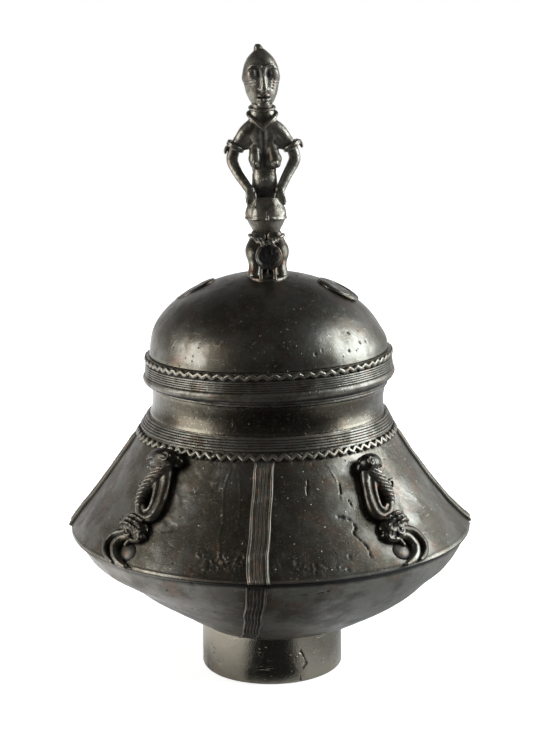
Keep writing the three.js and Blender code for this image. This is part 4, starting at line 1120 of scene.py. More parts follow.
def animal_parts(animal):
    """Wax parts of one animal by piece name."""
    rise, tail = animal["relief"] / 2, animal["tail_tube"] / 2
    parts = {
        "head": animal_head(rise),
        "body": animal_body(rise, animal["tube"] / 2),
        "haunch": animal_haunch(rise),
    }
    for name, line in TAIL_LINES.items():
        stops = [(x, y, tail * 1.1, tail * taper) for (x, y), taper in zip(line, TAIL_TAPER)]
        parts[name] = [flat_tube(stops)]
    # A low mound of wax fills the curl of the tails
    parts["tail_inner"].append(ball((-1, -23, -0.2), (5.4, 4.8, 1.9), 20))
    return parts


# How rough each part's skin is, and the lines that its mouth and its hatched flank follow
SKIN_ROUGHNESS = {"head": 0.3, "body": 0.3, "haunch": 1, "tail_outer": 0.15, "tail_inner": 0.15}
SNOUT_LINE = np.array([(10, 20.2), (6, 20.8), (3, 21.4)])
FLANK_LINE = np.array([(-1, 17), (2.4, 10), (3.6, 2)])


def animal_skin(animal, part):
    """Relief of an animal's skin: hatched on the flank, knobbly on the haunch, calm on the tails."""
    def relief(points):
        x, y, _ = points.T
        lift = SKIN_ROUGHNESS[part] * uneven(points, 1.3, 91, 2)
        if part == "body":
            flank = 1 - ease(2.2, 4, near_path(points[:, :2], FLANK_LINE))
            lift = lift + flank * np.sin(2 * math.pi * (0.45 * x + y) / 1.9)
        if part == "head":
            lift = lift - 3.2 * (1 - ease(0, 0.7, near_path(points[:, :2], SNOUT_LINE) - 0.2))
            lift = lift + 0.35 * ease(3, 5, x) * np.sin(2 * math.pi * (x - 0.4 * y) / 1.6)
        return animal["skin_depth"] * lift

    return relief


# Direction from the front in degrees, side, and how far the animal slants away from the front
ANIMAL_PLACES = {
    "front_left": (-44, -1, 0),
    "front_right": (41.6, 1, 0.075),
    "back_left": (-137, 1, 0.03),
    "back_right": (137, -1, 0.05),
}
# Parts that stayed black, while hands rubbed the others
BLACK_PARTS = ("head", "haunch", "tail_outer")


def head_turn(points):
    """Moves that turn a head towards the eye, so that it looks short and sits lower."""
    return np.array([-0.34, 0, 0.08]) * points + np.array([-1.6, -3.6, 0])


def make_animals(pot, animal, bronze):
    """Four climbing animals, modelled once and bent round the wall at their places."""
    shoulder = (SHOULDER_RADIUS - 0.4, SHOULDER_HIGH + 0.5)
    wall = Outline(shoulder).to((NECK_RADIUS, WALL_TOP), swell=-pot["hollow"])
    surface = WallSurface(wall)
    flat = {}
    for part, wax in animal_parts(animal).items():
        flat[part] = fused(part, wax, softening=2)
        worked(flat[part], animal_skin(animal, part))
    for seed, (place, (degrees, side, slant)) in enumerate(ANIMAL_PLACES.items()):
        for part, mesh in flat.items():
            bent = mesh.copy()
            points, _ = read_mesh(bent)
            sway = [0.7 * uneven(points, 11, 95 + 3 * seed + axis) for axis in range(2)]
            lift = np.maximum(points[:, 2], -0.4)
            points = points + (head_turn(points) if part == "head" and place == "front_right" else 0)
            if part == "body" and side < 0:
                # The claw lies close to the flank
                points[:, 0] -= 0.75 * np.maximum(points[:, 0] - 4.6, 0)
            shown = surface.place(animal["above_shoulder"] + points[:, 1] + sway[0],
                                  side * (points[:, 0] + slant * (points[:, 1] + 14) + sway[1]), lift,
                                  math.radians(degrees))
            move_points(bent, shown)
            if side < 0:
                bent.flip_normals()
            # Painted shade where the relief meets the wall, fading as it rises off it
            grime = 0.9 * (1 - ease(0.2, 2.2, points[:, 2]))
            skin = bronze["black"] if part in BLACK_PARTS else bronze["animal"]
            piece(f"animal_{place}_{part}", bent, "pot", skin, grime)
    for mesh in flat.values():
        bpy.data.meshes.remove(mesh)


# Lid


def make_lid_flange(pot, bronze):
    """The flange inside the neck that keeps the lid centred."""
    bottom, top = bottom_of("lid_flange"), top_of("lid_flange")
    inner = FLANGE_RADIUS - pot["wall"]
    outline = Outline((inner, bottom + 0.6)).to((inner + 0.7, bottom), step=0.4, swell=0.1)
    outline.to((FLANGE_RADIUS - 0.7, bottom), step=1)
    outline.to((FLANGE_RADIUS, bottom + 0.7), step=0.4, swell=0.12)
    outline.to((FLANGE_RADIUS, top), step=2, share=-0.5)
    outline.to((inner, top), step=1.5)
    outline.to((inner, bottom + 0.6), step=3)
    cast = hand_made(outline, 101, 0.2)

    def relief(points, azimuth, shares):
        """Dents that only sink in, so that the flange keeps clear of the neck."""
        lift, grime = cast(points, azimuth, shares)
        return np.abs(lift), grime

    mesh, grime = turned("lid_flange", outline, relief=relief)
    piece("lid_flange", mesh, "lid_seat", bronze["smooth"], grime)


# How far the band's level seat reaches beyond the rim of the neck, and the run from there to its skirt
SEAT_REACH = 0.7
SEAT_EDGE = 0.5


def crooked(mesh, lid):
    """Slopes the outside of the band and what lies on it, which the founder laid on by eye."""
    points, _ = read_mesh(mesh)
    seat = RIM_RADIUS + SEAT_REACH
    outside = ease(seat, seat + SEAT_EDGE, np.hypot(points[:, 0], points[:, 1]))
    above = ease(DOME_BOTTOM - 3, DOME_BOTTOM - 1, points[:, 2])
    share = np.maximum(outside, above) * (1 - ease(DOME_BOTTOM + 1, DOME_BOTTOM + 14, points[:, 2]))
    points[:, 2] += lid["slope"] * points[:, 0] * share
    move_points(mesh, points)
    return mesh


def make_lid_band(pot, lid, bronze):
    """The lid's band: a plain roll at its foot, wound threads above it, and notches beside the zigzag."""
    inside = FLANGE_RADIUS + SEAM
    seat = BAND_BOTTOM + 1.4
    level = RIM_RADIUS + SEAT_REACH
    skirt = level + SEAT_EDGE
    high, low = zigzag_heights("lid_zigzag", pot)
    field_bottom = low - 1.2
    field = lid_zigzag_radius(pot) - 0.1
    roll = [(-1.1, 0.1), (-0.1, 1.2), (0.3, 2.6), (0, 3.8), (-0.6, 4.5)]
    lip = [(0.4, -0.7), (0.45, -0.25), (-0.1, 0)]
    outline = Outline((inside, seat)).to((level, seat), step=1.5)
    outline.to((skirt, seat), step=0.5)
    outline.to((skirt, BAND_BOTTOM + 0.2), step=0.6)
    outline.through(curve_through([(skirt + 0.2, BAND_BOTTOM)] + [
        (BAND_RADIUS + out, BAND_BOTTOM + up) for out, up in roll], 4), share=0.5)
    outline.through(threads((BAND_RADIUS - 0.5, BAND_BOTTOM + 4.6), (field + 0.9, field_bottom),
                            lid["band_threads"], lid["groove"]), share=0.5, then=(field, field_bottom + 0.3))
    outline.to((field - 0.1, BAND_TOP - 0.8), step=0.45, share=0.5)
    outline.through(curve_through([(field + out, BAND_TOP + up) for out, up in lip], 3), share=0.4,
                    then=(field - 0.6, BAND_TOP))
    outline.to((inside, BAND_TOP), step=1.5)
    outline.to((inside, seat), step=2.5)
    wobble = thread_wobble(111, 0.2)
    teeth = lid_teeth(pot)

    def relief(points, azimuth, shares):
        """Threads that wander, with the notches and painted shade in them, and painted shadow under the band.
        """
        lift, grime = wobble(points, azimuth, shares)
        height = points[..., 2]
        middle = zigzag_middle(teeth, azimuth, high, low)
        beside = ease(low - 0.9, low - 0.1, height) * (1 - ease(high + 0.1, high + 0.8, height))
        notch = beside * ease(0.2, 0.9, np.abs(height - middle)) * (shares > 0)
        # Painted shadow under the band's foot
        under = 0.95 * (1 - ease(BAND_BOTTOM + 0.3, BAND_BOTTOM + 1.5, height))
        return lift - 0.9 * notch, np.maximum(0.85 * notch, under)

    mesh, grime = turned("lid_band", outline, relief=relief)
    piece("lid_band", crooked(mesh, lid), "lid", bronze["thread"], grime)


def make_lid_zigzag(pot, lid, bronze):
    """The zigzag thread that is laid round the lid's band."""
    high, low = zigzag_heights("lid_zigzag", pot)
    azimuth, line = zigzag_line(lid_teeth(pot), 121)
    centres = round_the_pot(lid_zigzag_radius(pot) - 0.1, azimuth, np.interp(line, [-1, 1], [low, high]))
    normals = round_the_pot(1.0, azimuth, 0)
    girth = 1 + 0.12 * uneven(centres, 3, 122)
    mesh = laid_thread("lid_zigzag", centres, normals, pot["thread_width"] / 2 * girth,
                       (pot["thread_relief"] + 0.25) * girth)
    piece("lid_zigzag", crooked(mesh, lid), "lid", bronze["thread"])


# The dome is a little leaner than an ellipse
DOME_LEANNESS = 1.06


def dome_outline_point(angle, grow=0.0):
    """A point of the dome's outline at an angle up from its foot."""
    return [(DOME_RADIUS + grow) * math.cos(angle) ** DOME_LEANNESS,
            DOME_BOTTOM + (LID_TOP - DOME_BOTTOM + grow) * math.sin(angle)]


def dome_height(away):
    """Height of the dome at a distance from its axis."""
    share = np.minimum(np.asarray(away, float) / DOME_RADIUS, 0.999) ** (1 / DOME_LEANNESS)
    return DOME_BOTTOM + (LID_TOP - DOME_BOTTOM) * np.sqrt(1 - share ** 2)


def make_lid_dome(pot, lid, bronze):
    """The hollow dome, with holes, scored lines and a slump on its right side."""
    outer = [dome_outline_point(a) for a in np.linspace(0, math.pi / 2, 96)]
    inner = [dome_outline_point(a, -pot["wall"]) for a in np.linspace(math.pi / 2, 0, 20)]
    outer[-1][0] = inner[0][0] = 0
    outline = Outline().through(inner, share=0).through(outer[:-1], share=1).through(outer[-1:], share=0)
    cast = hand_made(outline, 131, pot["unevenness"] * 0.8, lines=DOME_LINES, holes=DOME_HOLES,
                     pit_depth=pot["pit_depth"], pits=44)

    def relief(points, azimuth, shares):
        """The cast surface with the slump, calm at the top and at the foot."""
        lift, grime = cast(points, azimuth, shares)
        away = np.linalg.norm(points[..., :2], axis=-1)
        calm = ease(6, 16, away) * ease(0, 2, points[..., 2] - DOME_BOTTOM)
        up = (points[..., 2] - DOME_BOTTOM) / (LID_TOP - DOME_BOTTOM)
        slump = ease(0.08, 0.32, up) * (1 - ease(0.6, 0.88, up))
        lift = lift * calm - lid["dome_slump"] * slump * (0.25 + np.sin(azimuth))
        return lift, grime * calm

    mesh, grime = turned("lid_dome", outline, closed=False, relief=relief)
    piece("lid_dome", crooked(mesh, lid), "lid", bronze["dome"], grime)


# Direction from the front in degrees and distance from the axis of each plate
PLATE_PLACES = {"left": (-96, 35.8), "right": (82, 34.4)}
# How far the plates are sunk into the dome, in mm
PLATE_SINK = 0.25


def make_lid_discs(lid, bronze):
    """Two thin round plates with raised rings near their rims, laid on the dome."""
    radius, height = lid["plate_radius"], lid["plate_height"]
    rings = [(-4.2, -0.5), (-3.6, -0.1), (-3, -0.05), (-2.4, -0.45), (-1.8, -0.05), (-1.2, 0), (-0.8, -0.4),
             (-0.4, -0.1), (-0.05, -0.35), (0, -0.8)]
    top = [(0, height - 0.5), (radius * 0.3, height - 0.45), (radius * 0.6, height - 0.4)]
    top += [(radius + out, height + up) for out, up in rings]
    outline = Outline().through(curve_through(top, 4), then=(radius - 0.1, height - 1))
    outline.to((radius - 1.6, height - 1.3), step=0.6)
    outline.to((radius - 1.8, -2.4), step=0.8)
    outline.to((0, -2.4), step=3).through([(0, -2.4)])
    for seed, (name, (azimuth, distance)) in enumerate(PLATE_PLACES.items()):
        mesh, _ = turned(f"lid_disc_{name}", outline, closed=False, azimuths=around(96))
        points, normals = read_mesh(mesh)
        points = points + normals * 0.12 * uneven(points, 4, 141 + seed)[:, None]
        place = dome_height(distance)
        tilt = math.atan((dome_height(distance - 1) - dome_height(distance + 1)) / 2)
        turn = Euler((tilt, 0, 0)).to_matrix()
        spin = Euler((0, 0, math.radians(azimuth))).to_matrix()
        points = points @ np.array(turn).T + np.array([0, -distance, place - PLATE_SINK])
        away = np.hypot(points[:, 0], points[:, 1])
        points[:, 2] += dome_height(away) - place + math.tan(tilt) * (-points[:, 1] - distance)
        points = points @ np.array(spin).T
        move_points(mesh, points)
        piece(f"lid_disc_{name}", mesh, "lid", bronze["disc"])


# Figure: x to the right, -y forwards, heights above the top of the lid


def stood(mesh, figure):
    """Stands a modelled piece of the figure on the lid, with the figure's lean."""
    points, _ = read_mesh(mesh)
    points[:, 0] += figure["aside"] - figure["lean"] * points[:, 2]
    points[:, 2] += LID_TOP
    move_points(mesh, points)
    return mesh


def figure_height(node):
    """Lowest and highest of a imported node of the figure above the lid's top."""
    low, high = box_mm(node)
    return low[2] - LID_TOP, high[2] - LID_TOP


def fingered(points):
    """Faint unevenness that fingers leave in wax."""
    return 0.06 * uneven(points, 1.3, 7, 2)


def hoop(stops, sides=12, per_span=3):
    """A closed ring of wax through its stops."""
    return tube(stops, sides, per_span, closed=True, across=(0, 0, 1))


def modelled(name, parts, figure, material, grain=WAX_GRAIN, softening=3, relief=fingered, grime=None):
    """Fuses wax parts into one piece of the figure."""
    mesh = fused(name, parts, grain, softening)
    before = worked(mesh, relief)
    # What the darkening function gives is painted shade
    painted_shade = grime(before) if grime else None
    piece(name, stood(mesh, figure), "lid", material, painted_shade)


def on_dome(points):
    """Lowers points with the dome as it falls away from its top."""
    points = points.copy()
    points[:, 2] += dome_height(np.hypot(points[:, 0], points[:, 1])) - LID_TOP
    return points


def make_figure_base(figure, bronze):
    """A thin plate that follows the dome."""
    rows = [(-1.4, 0, -6, 10, 13.6), (0.4, 0, -6, 10.2, 13.8), (1, 0, -6, 10, 13.6), (1.3, 0, -6, 9.5, 13)]
    mesh = fused("figure_base", [stacked(rows, 40)], WAX_GRAIN, 4)
    worked(mesh, lambda points: 0.2 * uneven(points, 3, 151, 2))
    points, _ = read_mesh(mesh)
    move_points(mesh, on_dome(points))
    piece("figure_base", stood(mesh, figure), "lid", bronze["animal"])


# How far the dish stands before the figure
DISH_FORWARD = 16.5
KNEE = (4.7, -3.4, 16.4)
# Ovals of a leg from the foot up: height, distance from the middle, place to the back, half width, half depth
LEG_OVALS = [(-0.6, 6.3, -9, 3.5, 5), (0.8, 6.2, -8.6, 3.5, 4.6), (3.4, 5.8, -7.6, 3.4, 4.2),
             (6, 5.6, -6.8, 3.9, 4.6), (8.6, 5.5, -6.2, 4.9, 5.6), (11, 5.4, -5.6, 5.2, 6),
             (13, 5.3, -4.8, 4.9, 5.6), (15, 5, -4, 4.1, 4.6), (17, 4.4, -3, 3.8, 4), (20, 3.6, -2, 3.4, 3.6)]


def make_figure_legs(figure, bronze):
    """Bulging knees over straight shins, a ring above each knee, and a post before each shin."""
    # Painted shade between the shins, below the knees
    def shade_between_shins(points):
        return 0.8 * (1 - ease(2.2, 3.6, np.abs(points[:, 0]))) * (points[:, 2] < 13)

    for name, side in {"left": -1, "right": 1}.items():
        rows = [(z, side * x, y, wide, deep) for z, x, y, wide, deep in LEG_OVALS]
        web = [(z, side * 2.4, -5.4 + 0.12 * z, 2.1 + 0.05 * z, 3) for z in (-0.4, 4, 9, 13, 16, 20)]
        modelled(f"figure_leg_{name}", [stacked(rows), stacked(web, 16)], figure, bronze["animal"],
                 grime=shade_between_shins)
        ring = [(side * KNEE[0] + 3.5 * math.sin(a), KNEE[1] + 0.6 - 4.2 * math.cos(a),
                 KNEE[2] + 0.5 + side * 1.1 * math.sin(a), 0.92) for a in around(16)]
        modelled(f"figure_garter_{name}", [hoop(ring)], figure, bronze["rubbed"], softening=2)
        post = [(side * 3.4, -DISH_FORWARD - 1.8, -1.6, 0.95), (side * 3.4, -DISH_FORWARD - 1.6, 1.2, 0.8),
                (side * 3.3, -DISH_FORWARD - 1.2, 4.2, 0.95)]
        modelled(f"figure_post_{name}", [tube(post)], figure, bronze["animal"])


def make_figure_dish(figure, bronze):
    """The round dish held before the knees, rough inside its raised rim, with the cord it hangs from."""
    outline = Outline((0, -9)).to((3.4, -8.6), step=1)
    outline.through(curve_through([
        (3.5, -8.2), (3.4, -4), (3.8, -1.4), (5.4, -0.6), (6.3, 0.2), (6.5, 1.2), (6.3, 2.1), (5.8, 2.4),
        (5.3, 2), (4.8, 1.3), (3, 0.8), (0, 0.7),
    ], 4))
    mesh, _ = turned("dish", outline, closed=False, azimuths=around(64))
    points, _ = read_mesh(mesh)
    turn = np.array(Euler((math.radians(82), 0, 0)).to_matrix())
    middle = np.array([0.8, -DISH_FORWARD, 9.4])
    faces = [list(polygon.vertices) for polygon in mesh.polygons]
    bpy.data.meshes.remove(mesh)
    cord = tube([(-4.8, -8.6, 16.4, 1.3), (-2.6, -12.6, 16, 1.5), (0.3, -14.6, 15.2, 1.7),
                 (3, -12.8, 16, 1.5), (5, -8.6, 16.4, 1.3)], 14)

    def inside(points):
        """Share that lies in the dish's hollow."""
        local = (points - middle) @ turn
        return (local[:, 2] > 0.3) * (1 - ease(4.6, 5.2, np.hypot(local[:, 0], local[:, 1])))

    def relief(points):
        """Twist of the cord, and the roughness in the dish."""
        twist = ease(13.6, 14.6, points[:, 2]) * np.sin(2 * math.pi * (points[:, 0] + 0.6 * points[:, 2]) / 2)
        rough = 0.4 * inside(points) * uneven(points, 0.9, 162)
        return 0.09 * uneven(points, 1.6, 161) + rough + 0.22 * twist

    # The dish's hollow is darkened with painted shade
    modelled("figure_front_dish", [(points @ turn.T + middle, faces), cord], figure, bronze["animal"],
             FACE_GRAIN, 2, relief, inside)


# Ovals of the hips: height above their foot, half width and half depth
HIP_OVALS = [(-0.4, 5.8, 5.4), (2.3, 7, 6.4), (4.4, 8.1, 7.3), (6.6, 9.1, 8.2), (7.7, 9.7, 8.8),
             (8.6, 9.9, 9), (10.2, 10, 9), (12.6, 9.4, 8.4), (15, 8.2, 7.2), (17, 7.5, 6.5)]


def make_figure_hips(figure, bronze):
    """Hips like two bowls rim to rim, with a hem round them that dips in front."""
    low, high = figure_height("figure_hips")
    rows = [(low + up, 0, 0, wide, deep) for up, wide, deep in HIP_OVALS] + [(high, 0, 0, 7.2, 6.2)]
    hem = [(9.85 * math.sin(a), -8.95 * math.cos(a),
            low + 7.9 + 0.8 * max(0, math.cos(3 * a)) * (math.cos(a) > 0.8), 0.5) for a in around(36)]
    fold = tube([(0.6, -9.2, low + 8, 0.7), (0.8, -8.7, low + 10.4, 0.5), (0.4, -7.8, low + 13, 0.4)])

    def relief(points):
        """Pleats of the skirt above the hem."""
        angle = np.arctan2(points[:, 0], -points[:, 1])
        pleats = np.abs(np.sin(3.5 * angle))
        upper = ease(low + 9, low + 11, points[:, 2]) * (1 - ease(low + 15, low + 17, points[:, 2]))
        return 0.16 * uneven(points, 2.4, 171, 2) + 0.5 * upper * (pleats - 0.6)

    modelled("figure_hips", [stacked(rows), hoop(hem, 10, 2), fold], figure, bronze["figure"], softening=2,
             relief=relief)


# The bend of each arm in the photograph, from the armlet down to the wrist
ARM_LINES = {
    "left": [(-13.4, 0.4, 61), (-15.3, 1.2, 55.2), (-14.5, 0.6, 51.2), (-12.4, -1, 47.2), (-9.6, -3, 43.2),
             (-7.3, -5, 39.8)],
    "right": [(13.4, 0.4, 61), (14.9, 1.2, 55.2), (13.5, 0.6, 51.2), (11.1, -1, 47.2), (9, -3, 43.2),
              (7.4, -5, 39.8)],
}
HANDS = {
    "left": [(-7.1, -5.4, 40.6, 2.3, 1.7), (-7, -6.8, 38.2, 2.5, 1.3), (-7.4, -7.5, 35.8, 2.2, 1.1),
             (-8, -7.6, 33.4, 1.2, 0.8)],
    "right": [(7.2, -5.4, 40.6, 2.2, 1.7), (7.3, -6.8, 38.2, 2.3, 1.3), (8.2, -7.5, 35.8, 2.1, 1.1),
              (9, -7.4, 33.6, 1.3, 0.8)],
}
BREASTS = {
    "left": [(-3.9, 1.4, 70, 2.2, 2), (-3.9, 0.8, 66, 2.6, 2.4), (-3.9, -0.6, 61, 2.8, 2.8),
             (-4, -2.4, 57, 3.1, 3.3), (-4.1, -3.2, 54.4, 3.4, 3.5), (-4.1, -3.4, 52.6, 2.6, 2.6)],
    "right": [(3.9, 1.4, 70, 2.2, 2), (3.9, 0.8, 66, 2.6, 2.4), (4, -0.6, 61, 2.8, 2.8),
              (4.6, -2.4, 57, 3.1, 3.3), (5.3, -3.2, 54.6, 3.5, 3.5), (5.5, -3.4, 52.8, 2.7, 2.6)],
}
# Ovals of the torso: height above its foot, place to the back, half width and half depth
TORSO_OVALS = [(0, 0.4, 8.4, 4.6), (2, 0.3, 7.9, 4.5), (4.2, 0.1, 7, 4.4), (5.8, -0.2, 6.3, 5),
               (8.6, -0.2, 6.1, 5.1), (11.6, 0, 5.9, 4.7), (17, 0.2, 6, 4.2), (22, 0.3, 6.1, 4.3),
               (26, 0.2, 7, 4.4), (30, 0.2, 8.8, 4.4), (33, 0.2, 8.2, 4.3), (36.2, 0.1, 7, 4.3),
               (38.4, 0, 6.4, 4.6), (40, 0, 6, 4.8), (42.2, 0, 5.2, 4.7), (45.6, 0, 5, 4.6)]


def make_figure_torso(figure, bronze):
    """A narrow trunk with upper arms, hanging breasts, shoulder blades and a navel."""
    low, _ = figure_height("figure_torso")
    parts = [stacked([(low + up, 0, back, wide, deep) for up, back, wide, deep in TORSO_OVALS])]
    for name, side in {"left": -1, "right": 1}.items():
        upper_arm = [(side * 2.4, 0.2, 71.8, 3.8), (side * 7.6, 0.2, 68, 3.7), (side * 12.1, 0.4, 62.6, 2.9)]
        parts.append(tube(upper_arm, 18))
        parts.append(tube([(side * 6, 0.4, 63, 3.4), (side * 11.4, 0.4, 61, 2.7)]))
        parts.append(tube(BREASTS[name], 18))
        tip = BREASTS[name][-1]
        parts.append(ball((tip[0] + side * 0.4, tip[1] - 2.9, tip[2] + 0.2), (0.9, 0.8, 0.9), 10))
        parts.append(tube([(side * 1.6, 3.6, 68, 1.6), (side * 5, 3.8, 66, 2.2), (side * 4.4, 3.4, 58, 1.6)]))
    parts.append(ball((0, -4.9, low + 8.2), (1.2, 0.9, 1.1), 10))

    def cleft(points):
        """Share that lies between the breasts."""
        x, y, z = points.T
        across = np.exp(-(((x - 0.2) / 1.7) ** 2))
        return across * (y < -1) * ease(low + 13, low + 15, z) * (1 - ease(68, 71, z))

    def relief(points):
        """The cleft, and a line scored round the waist."""
        waist = np.exp(-(((points[:, 2] - low - 11.4) / 0.6) ** 2))
        return 0.1 * uneven(points, 1.8, 181, 2) - 1.1 * cleft(points) - 0.2 * waist

    def grime(points):
        """Painted shade in the cleft and where the trunk meets the hips."""
        ragged = 1.6 * uneven(points, 2.6, 185, 2)
        waist = 0.95 * (1 - ease(low + 3.4 + ragged, low + 6.4, points[:, 2]))
        return np.clip(np.maximum(waist, 0.9 * cleft(points)), 0, 1)

    modelled("figure_torso", parts, figure, bronze["figure"], relief=relief, grime=grime)


# Girth of a forearm from the armlet down to the wrist, as shares of the arm's radius
ARM_TAPER = [1.1, 1.1, 1.05, 0.98, 0.92, 0.84]


def make_figure_arms(figure, bronze):
    """Bent forearms that end in flat hands on the hips, and a knotted double ring on each upper arm."""
    radius = figure["arm_radius"]
    thick = figure["ring_thickness"] / 2
    for name, side in {"left": -1, "right": 1}.items():
        forearm = [(*stop, radius * girth) for stop, girth in zip(ARM_LINES[name], ARM_TAPER)]
        wrist, tip = np.array(HANDS[name][1]), np.array(HANDS[name][-1])
        thumb = [(*(wrist[:3] + [-side * 1.9, -0.4, 0.4]), 0.8),
                 (*(wrist[:3] + [-side * 2.3, -0.9, -1.4]), 0.65)]
        arm = [tube(forearm, 18), tube(HANDS[name], 20, 6), tube(thumb, 10)]

        def relief(points):
            """Grooves between the fingers."""
            along = np.clip((wrist[2] - 1.6 - points[:, 2]) / 3, 0, 1)
            centre = np.interp(points[:, 2], [tip[2], wrist[2]], [tip[0], wrist[0]])
            fingers = np.abs(np.sin(math.pi * (points[:, 0] - centre) / 1.15))
            return 0.05 * uneven(points, 1.5, 186, 2) - 0.32 * along * (1 - ease(0, 0.6, fingers))

        modelled(f"figure_arm_{name}", arm, figure, bronze["figure"], FACE_GRAIN, 2, relief)
        centre = np.array([side * 13.1, 0.4, 61.4])
        axis = np.array([side * 2.9, 0.6, -5])
        axis /= np.linalg.norm(axis)
        one = np.cross(axis, [0, 1, 0])
        one /= np.linalg.norm(one)
        other = np.cross(axis, one)
        ring = [(*(centre + (radius * 1.16 + thick) * (math.cos(a) * one + math.sin(a) * other)), thick)
                for a in around(16)]
        second = [(*(np.array(stop[:3]) + axis * 1.3), thick * 0.9) for stop in ring]
        knot = centre + (radius + 2 * thick) * side * np.array([1, 0, 0.3])
        ends = [ball(knot, (1.4, 1.3, 1.3), 10),
                tube([(*knot, 1), (*(knot + np.array([side * 0.9, -0.4, -1.2])), 1),
                      (*(knot + np.array([side * 1.1, -0.6, -2.2])), 0.8)], 10)]
        rings = [tube(r, 12, 3, closed=True, across=tuple(axis)) for r in (ring, second)]
        modelled(f"figure_armlet_{name}", [*rings, *ends], figure, bronze["rubbed"], softening=2)


def make_figure_collar(figure, bronze):
    """The thick cord that hangs to a point on the chest, and the ring under the jaw."""
    half = [(2.4, -5.9, 71.9), (5, -4.4, 74), (6.8, -1.2, 76.2), (5.4, 3, 77.2)]
    stops = [(0.6, -6.3, 70.3), *half, (0, 5.4, 77.6)]
    stops += [(-x, y, z) for x, y, z in reversed(half)] + [(-0.3, -6.3, 70.2)]
    cord = hoop([(*stop, 1.0) for stop in stops], 12, 4)
    drop = tube([(0.1, -6, 70.4, 0.8), (0.2, -5.4, 68.6, 0.6)], 10)
    modelled("figure_necklace", [cord, drop], figure, bronze["rubbed"], softening=2)
    thick = figure["ring_thickness"] / 2
    height = np.mean(figure_height("figure_neck_ring"))
    ring = [(5.9 * math.sin(a), -5.7 * math.cos(a), height + 0.2 - 1.1 * math.cos(a), thick)
            for a in around(20)]
    modelled("figure_neck_ring", [hoop(ring)], figure, bronze["rubbed"], softening=2)


# Half widths of the head from the jaw to the point of the crown, as shares of its height and greatest width
HEAD_OVALS = [(0, 0.3), (0.05, 0.5), (0.11, 0.64), (0.19, 0.75), (0.26, 0.83), (0.42, 0.93), (0.53, 1),
              (0.61, 0.97), (0.68, 0.93), (0.75, 0.87), (0.81, 0.79), (0.88, 0.67), (0.95, 0.48), (1, 0.31),
              (1.03, 0.2)]


def make_figure_head(figure, bronze):
    """Egg-shaped head with large bulging eyes, a long nose ridge, scored cheeks and a topknot."""
    chin, crown = figure_height("figure_head")
    chin -= 1.4
    crown += 0.6
    wide = 9.1
    front = -wide

    def height(share):
        """Height at a share of the way from the chin to the crown."""
        return chin + share * (crown - chin)

    def ridge(stops, sides):
        """A tube through stops of [x, distance behind the front of the face, share of the height, radius]."""
        return tube([(x, front + back, height(share), *radii) for x, back, share, *radii in stops], sides)

    rows = [(height(share), 0, -0.7 + 0.7 * share, wide * half, wide * (half * 0.96 + 0.04))
            for share, half in HEAD_OVALS]
    parts = [stacked(rows, 36)]
    parts.append(ridge([(0, 2, 0.76, 0.8), (0, 1.1, 0.64, 0.9), (0, 0.5, 0.52, 1.2), (0, -0.2, 0.4, 1.6),
                        (0, 0, 0.33, 1.8), (0, 1, 0.28, 1.3)], 14))
    for side in (-1, 1):
        parts.append(ball((side * 4.7, front + 2.7, height(0.59)), (2.9, 2.2, 3.3), 24))
        parts.append(ridge([(side * 1.1, 0.6, 0.72, 0.5), (side * 2.9, 1, 0.75, 0.5),
                            (side * 5, 2.1, 0.745, 0.5), (side * 6.9, 4, 0.69, 0.5)], 10))
        parts.append(ball((side * 1.5, front + 0.5, height(0.32)), (1.1, 1.1, 0.9), 12))
        parts.append(ridge([(side * 8.3, wide + 0.2, 0.58, 0.7, 1.4), (side * 8.5, wide + 0.6, 0.5, 0.7, 1.3),
                            (side * 7.9, wide + 0.4, 0.42, 0.5, 1)], 12))
    for share, thick, out in ((0.215, 0.75, 0.1), (0.14, 0.95, 0.5)):
        parts.append(ridge([(-3, 2.9 + out, share, 0.45), (-1.4, 1.3 + out, share, thick),
                            (0, 1.1 + out, share, thick * 0.9), (1.4, 1.3 + out, share, thick),
                            (3, 2.9 + out, share, 0.45)], 12))
    parts.append(ball((0, front + 3.8, height(0.055)), (3.2, 2.6, 1.9), 14))

    def hollow(points):
        """Share that lies in the hollows beside the nose."""
        x, y, z = points.T
        down = ((z - height(0.59)) / 2.7) ** 2
        deep = [np.exp(-(((x - side * 2.5) / 1.15) ** 2) - down) for side in (-1, 1)]
        return np.maximum(*deep) * (y < -2)

    def relief(points):
        """The hollows, the marks on the cheeks and the line of the mouth."""
        x, y, z = points.T
        facing = y < -2
        lift = 0.04 * uneven(points, 1.5, 191, 2) - 1.1 * hollow(points)
        for side in (-1, 1):
            for share in (0.47, 0.42):
                lift -= 0.25 * np.exp(-(((z - height(share)) / 0.3) ** 2)) * facing * (side * x > 4)
            for k in range(4):
                dot = np.hypot(x - (5.2 - 0.3 * k), z - height(0.5 - 0.055 * k)) / 0.45
                lift -= 0.22 * np.exp(-dot ** 2) * facing
        mouth = np.exp(-(((z - height(0.178)) / 0.3) ** 2)) * facing * (np.abs(x) < 3)
        return lift - 0.45 * mouth

    turn = np.array(Euler((0, 0, figure["head_turn"])).to_matrix())
    mesh = fused("figure_head", parts, FACE_GRAIN, 2)
    # The hollows beside the nose are darkened with painted shade
    painted_shade = np.clip(1.3 * hollow(worked(mesh, relief)), 0, 0.95)
    points, _ = read_mesh(mesh)
    move_points(mesh, points @ turn.T)
    piece("figure_head", stood(mesh, figure), "lid", bronze["figure"], painted_shade)
    high = figure_height("figure_topknot")[1]
    knot = [(crown - 1.6, -0.3, 0, 3.6, 3.6), (crown - 0.4, -0.5, 0, 2.8, 2.8),
            (crown + 0.8, -0.7, 0, 2.3, 2.3), (crown + 2, -0.9, 0, 1.9, 1.9), (high - 0.3, -1, 0, 1, 1)]
    modelled("figure_topknot", [stacked(knot, 20)], figure, bronze["figure"], softening=2)


# Materials


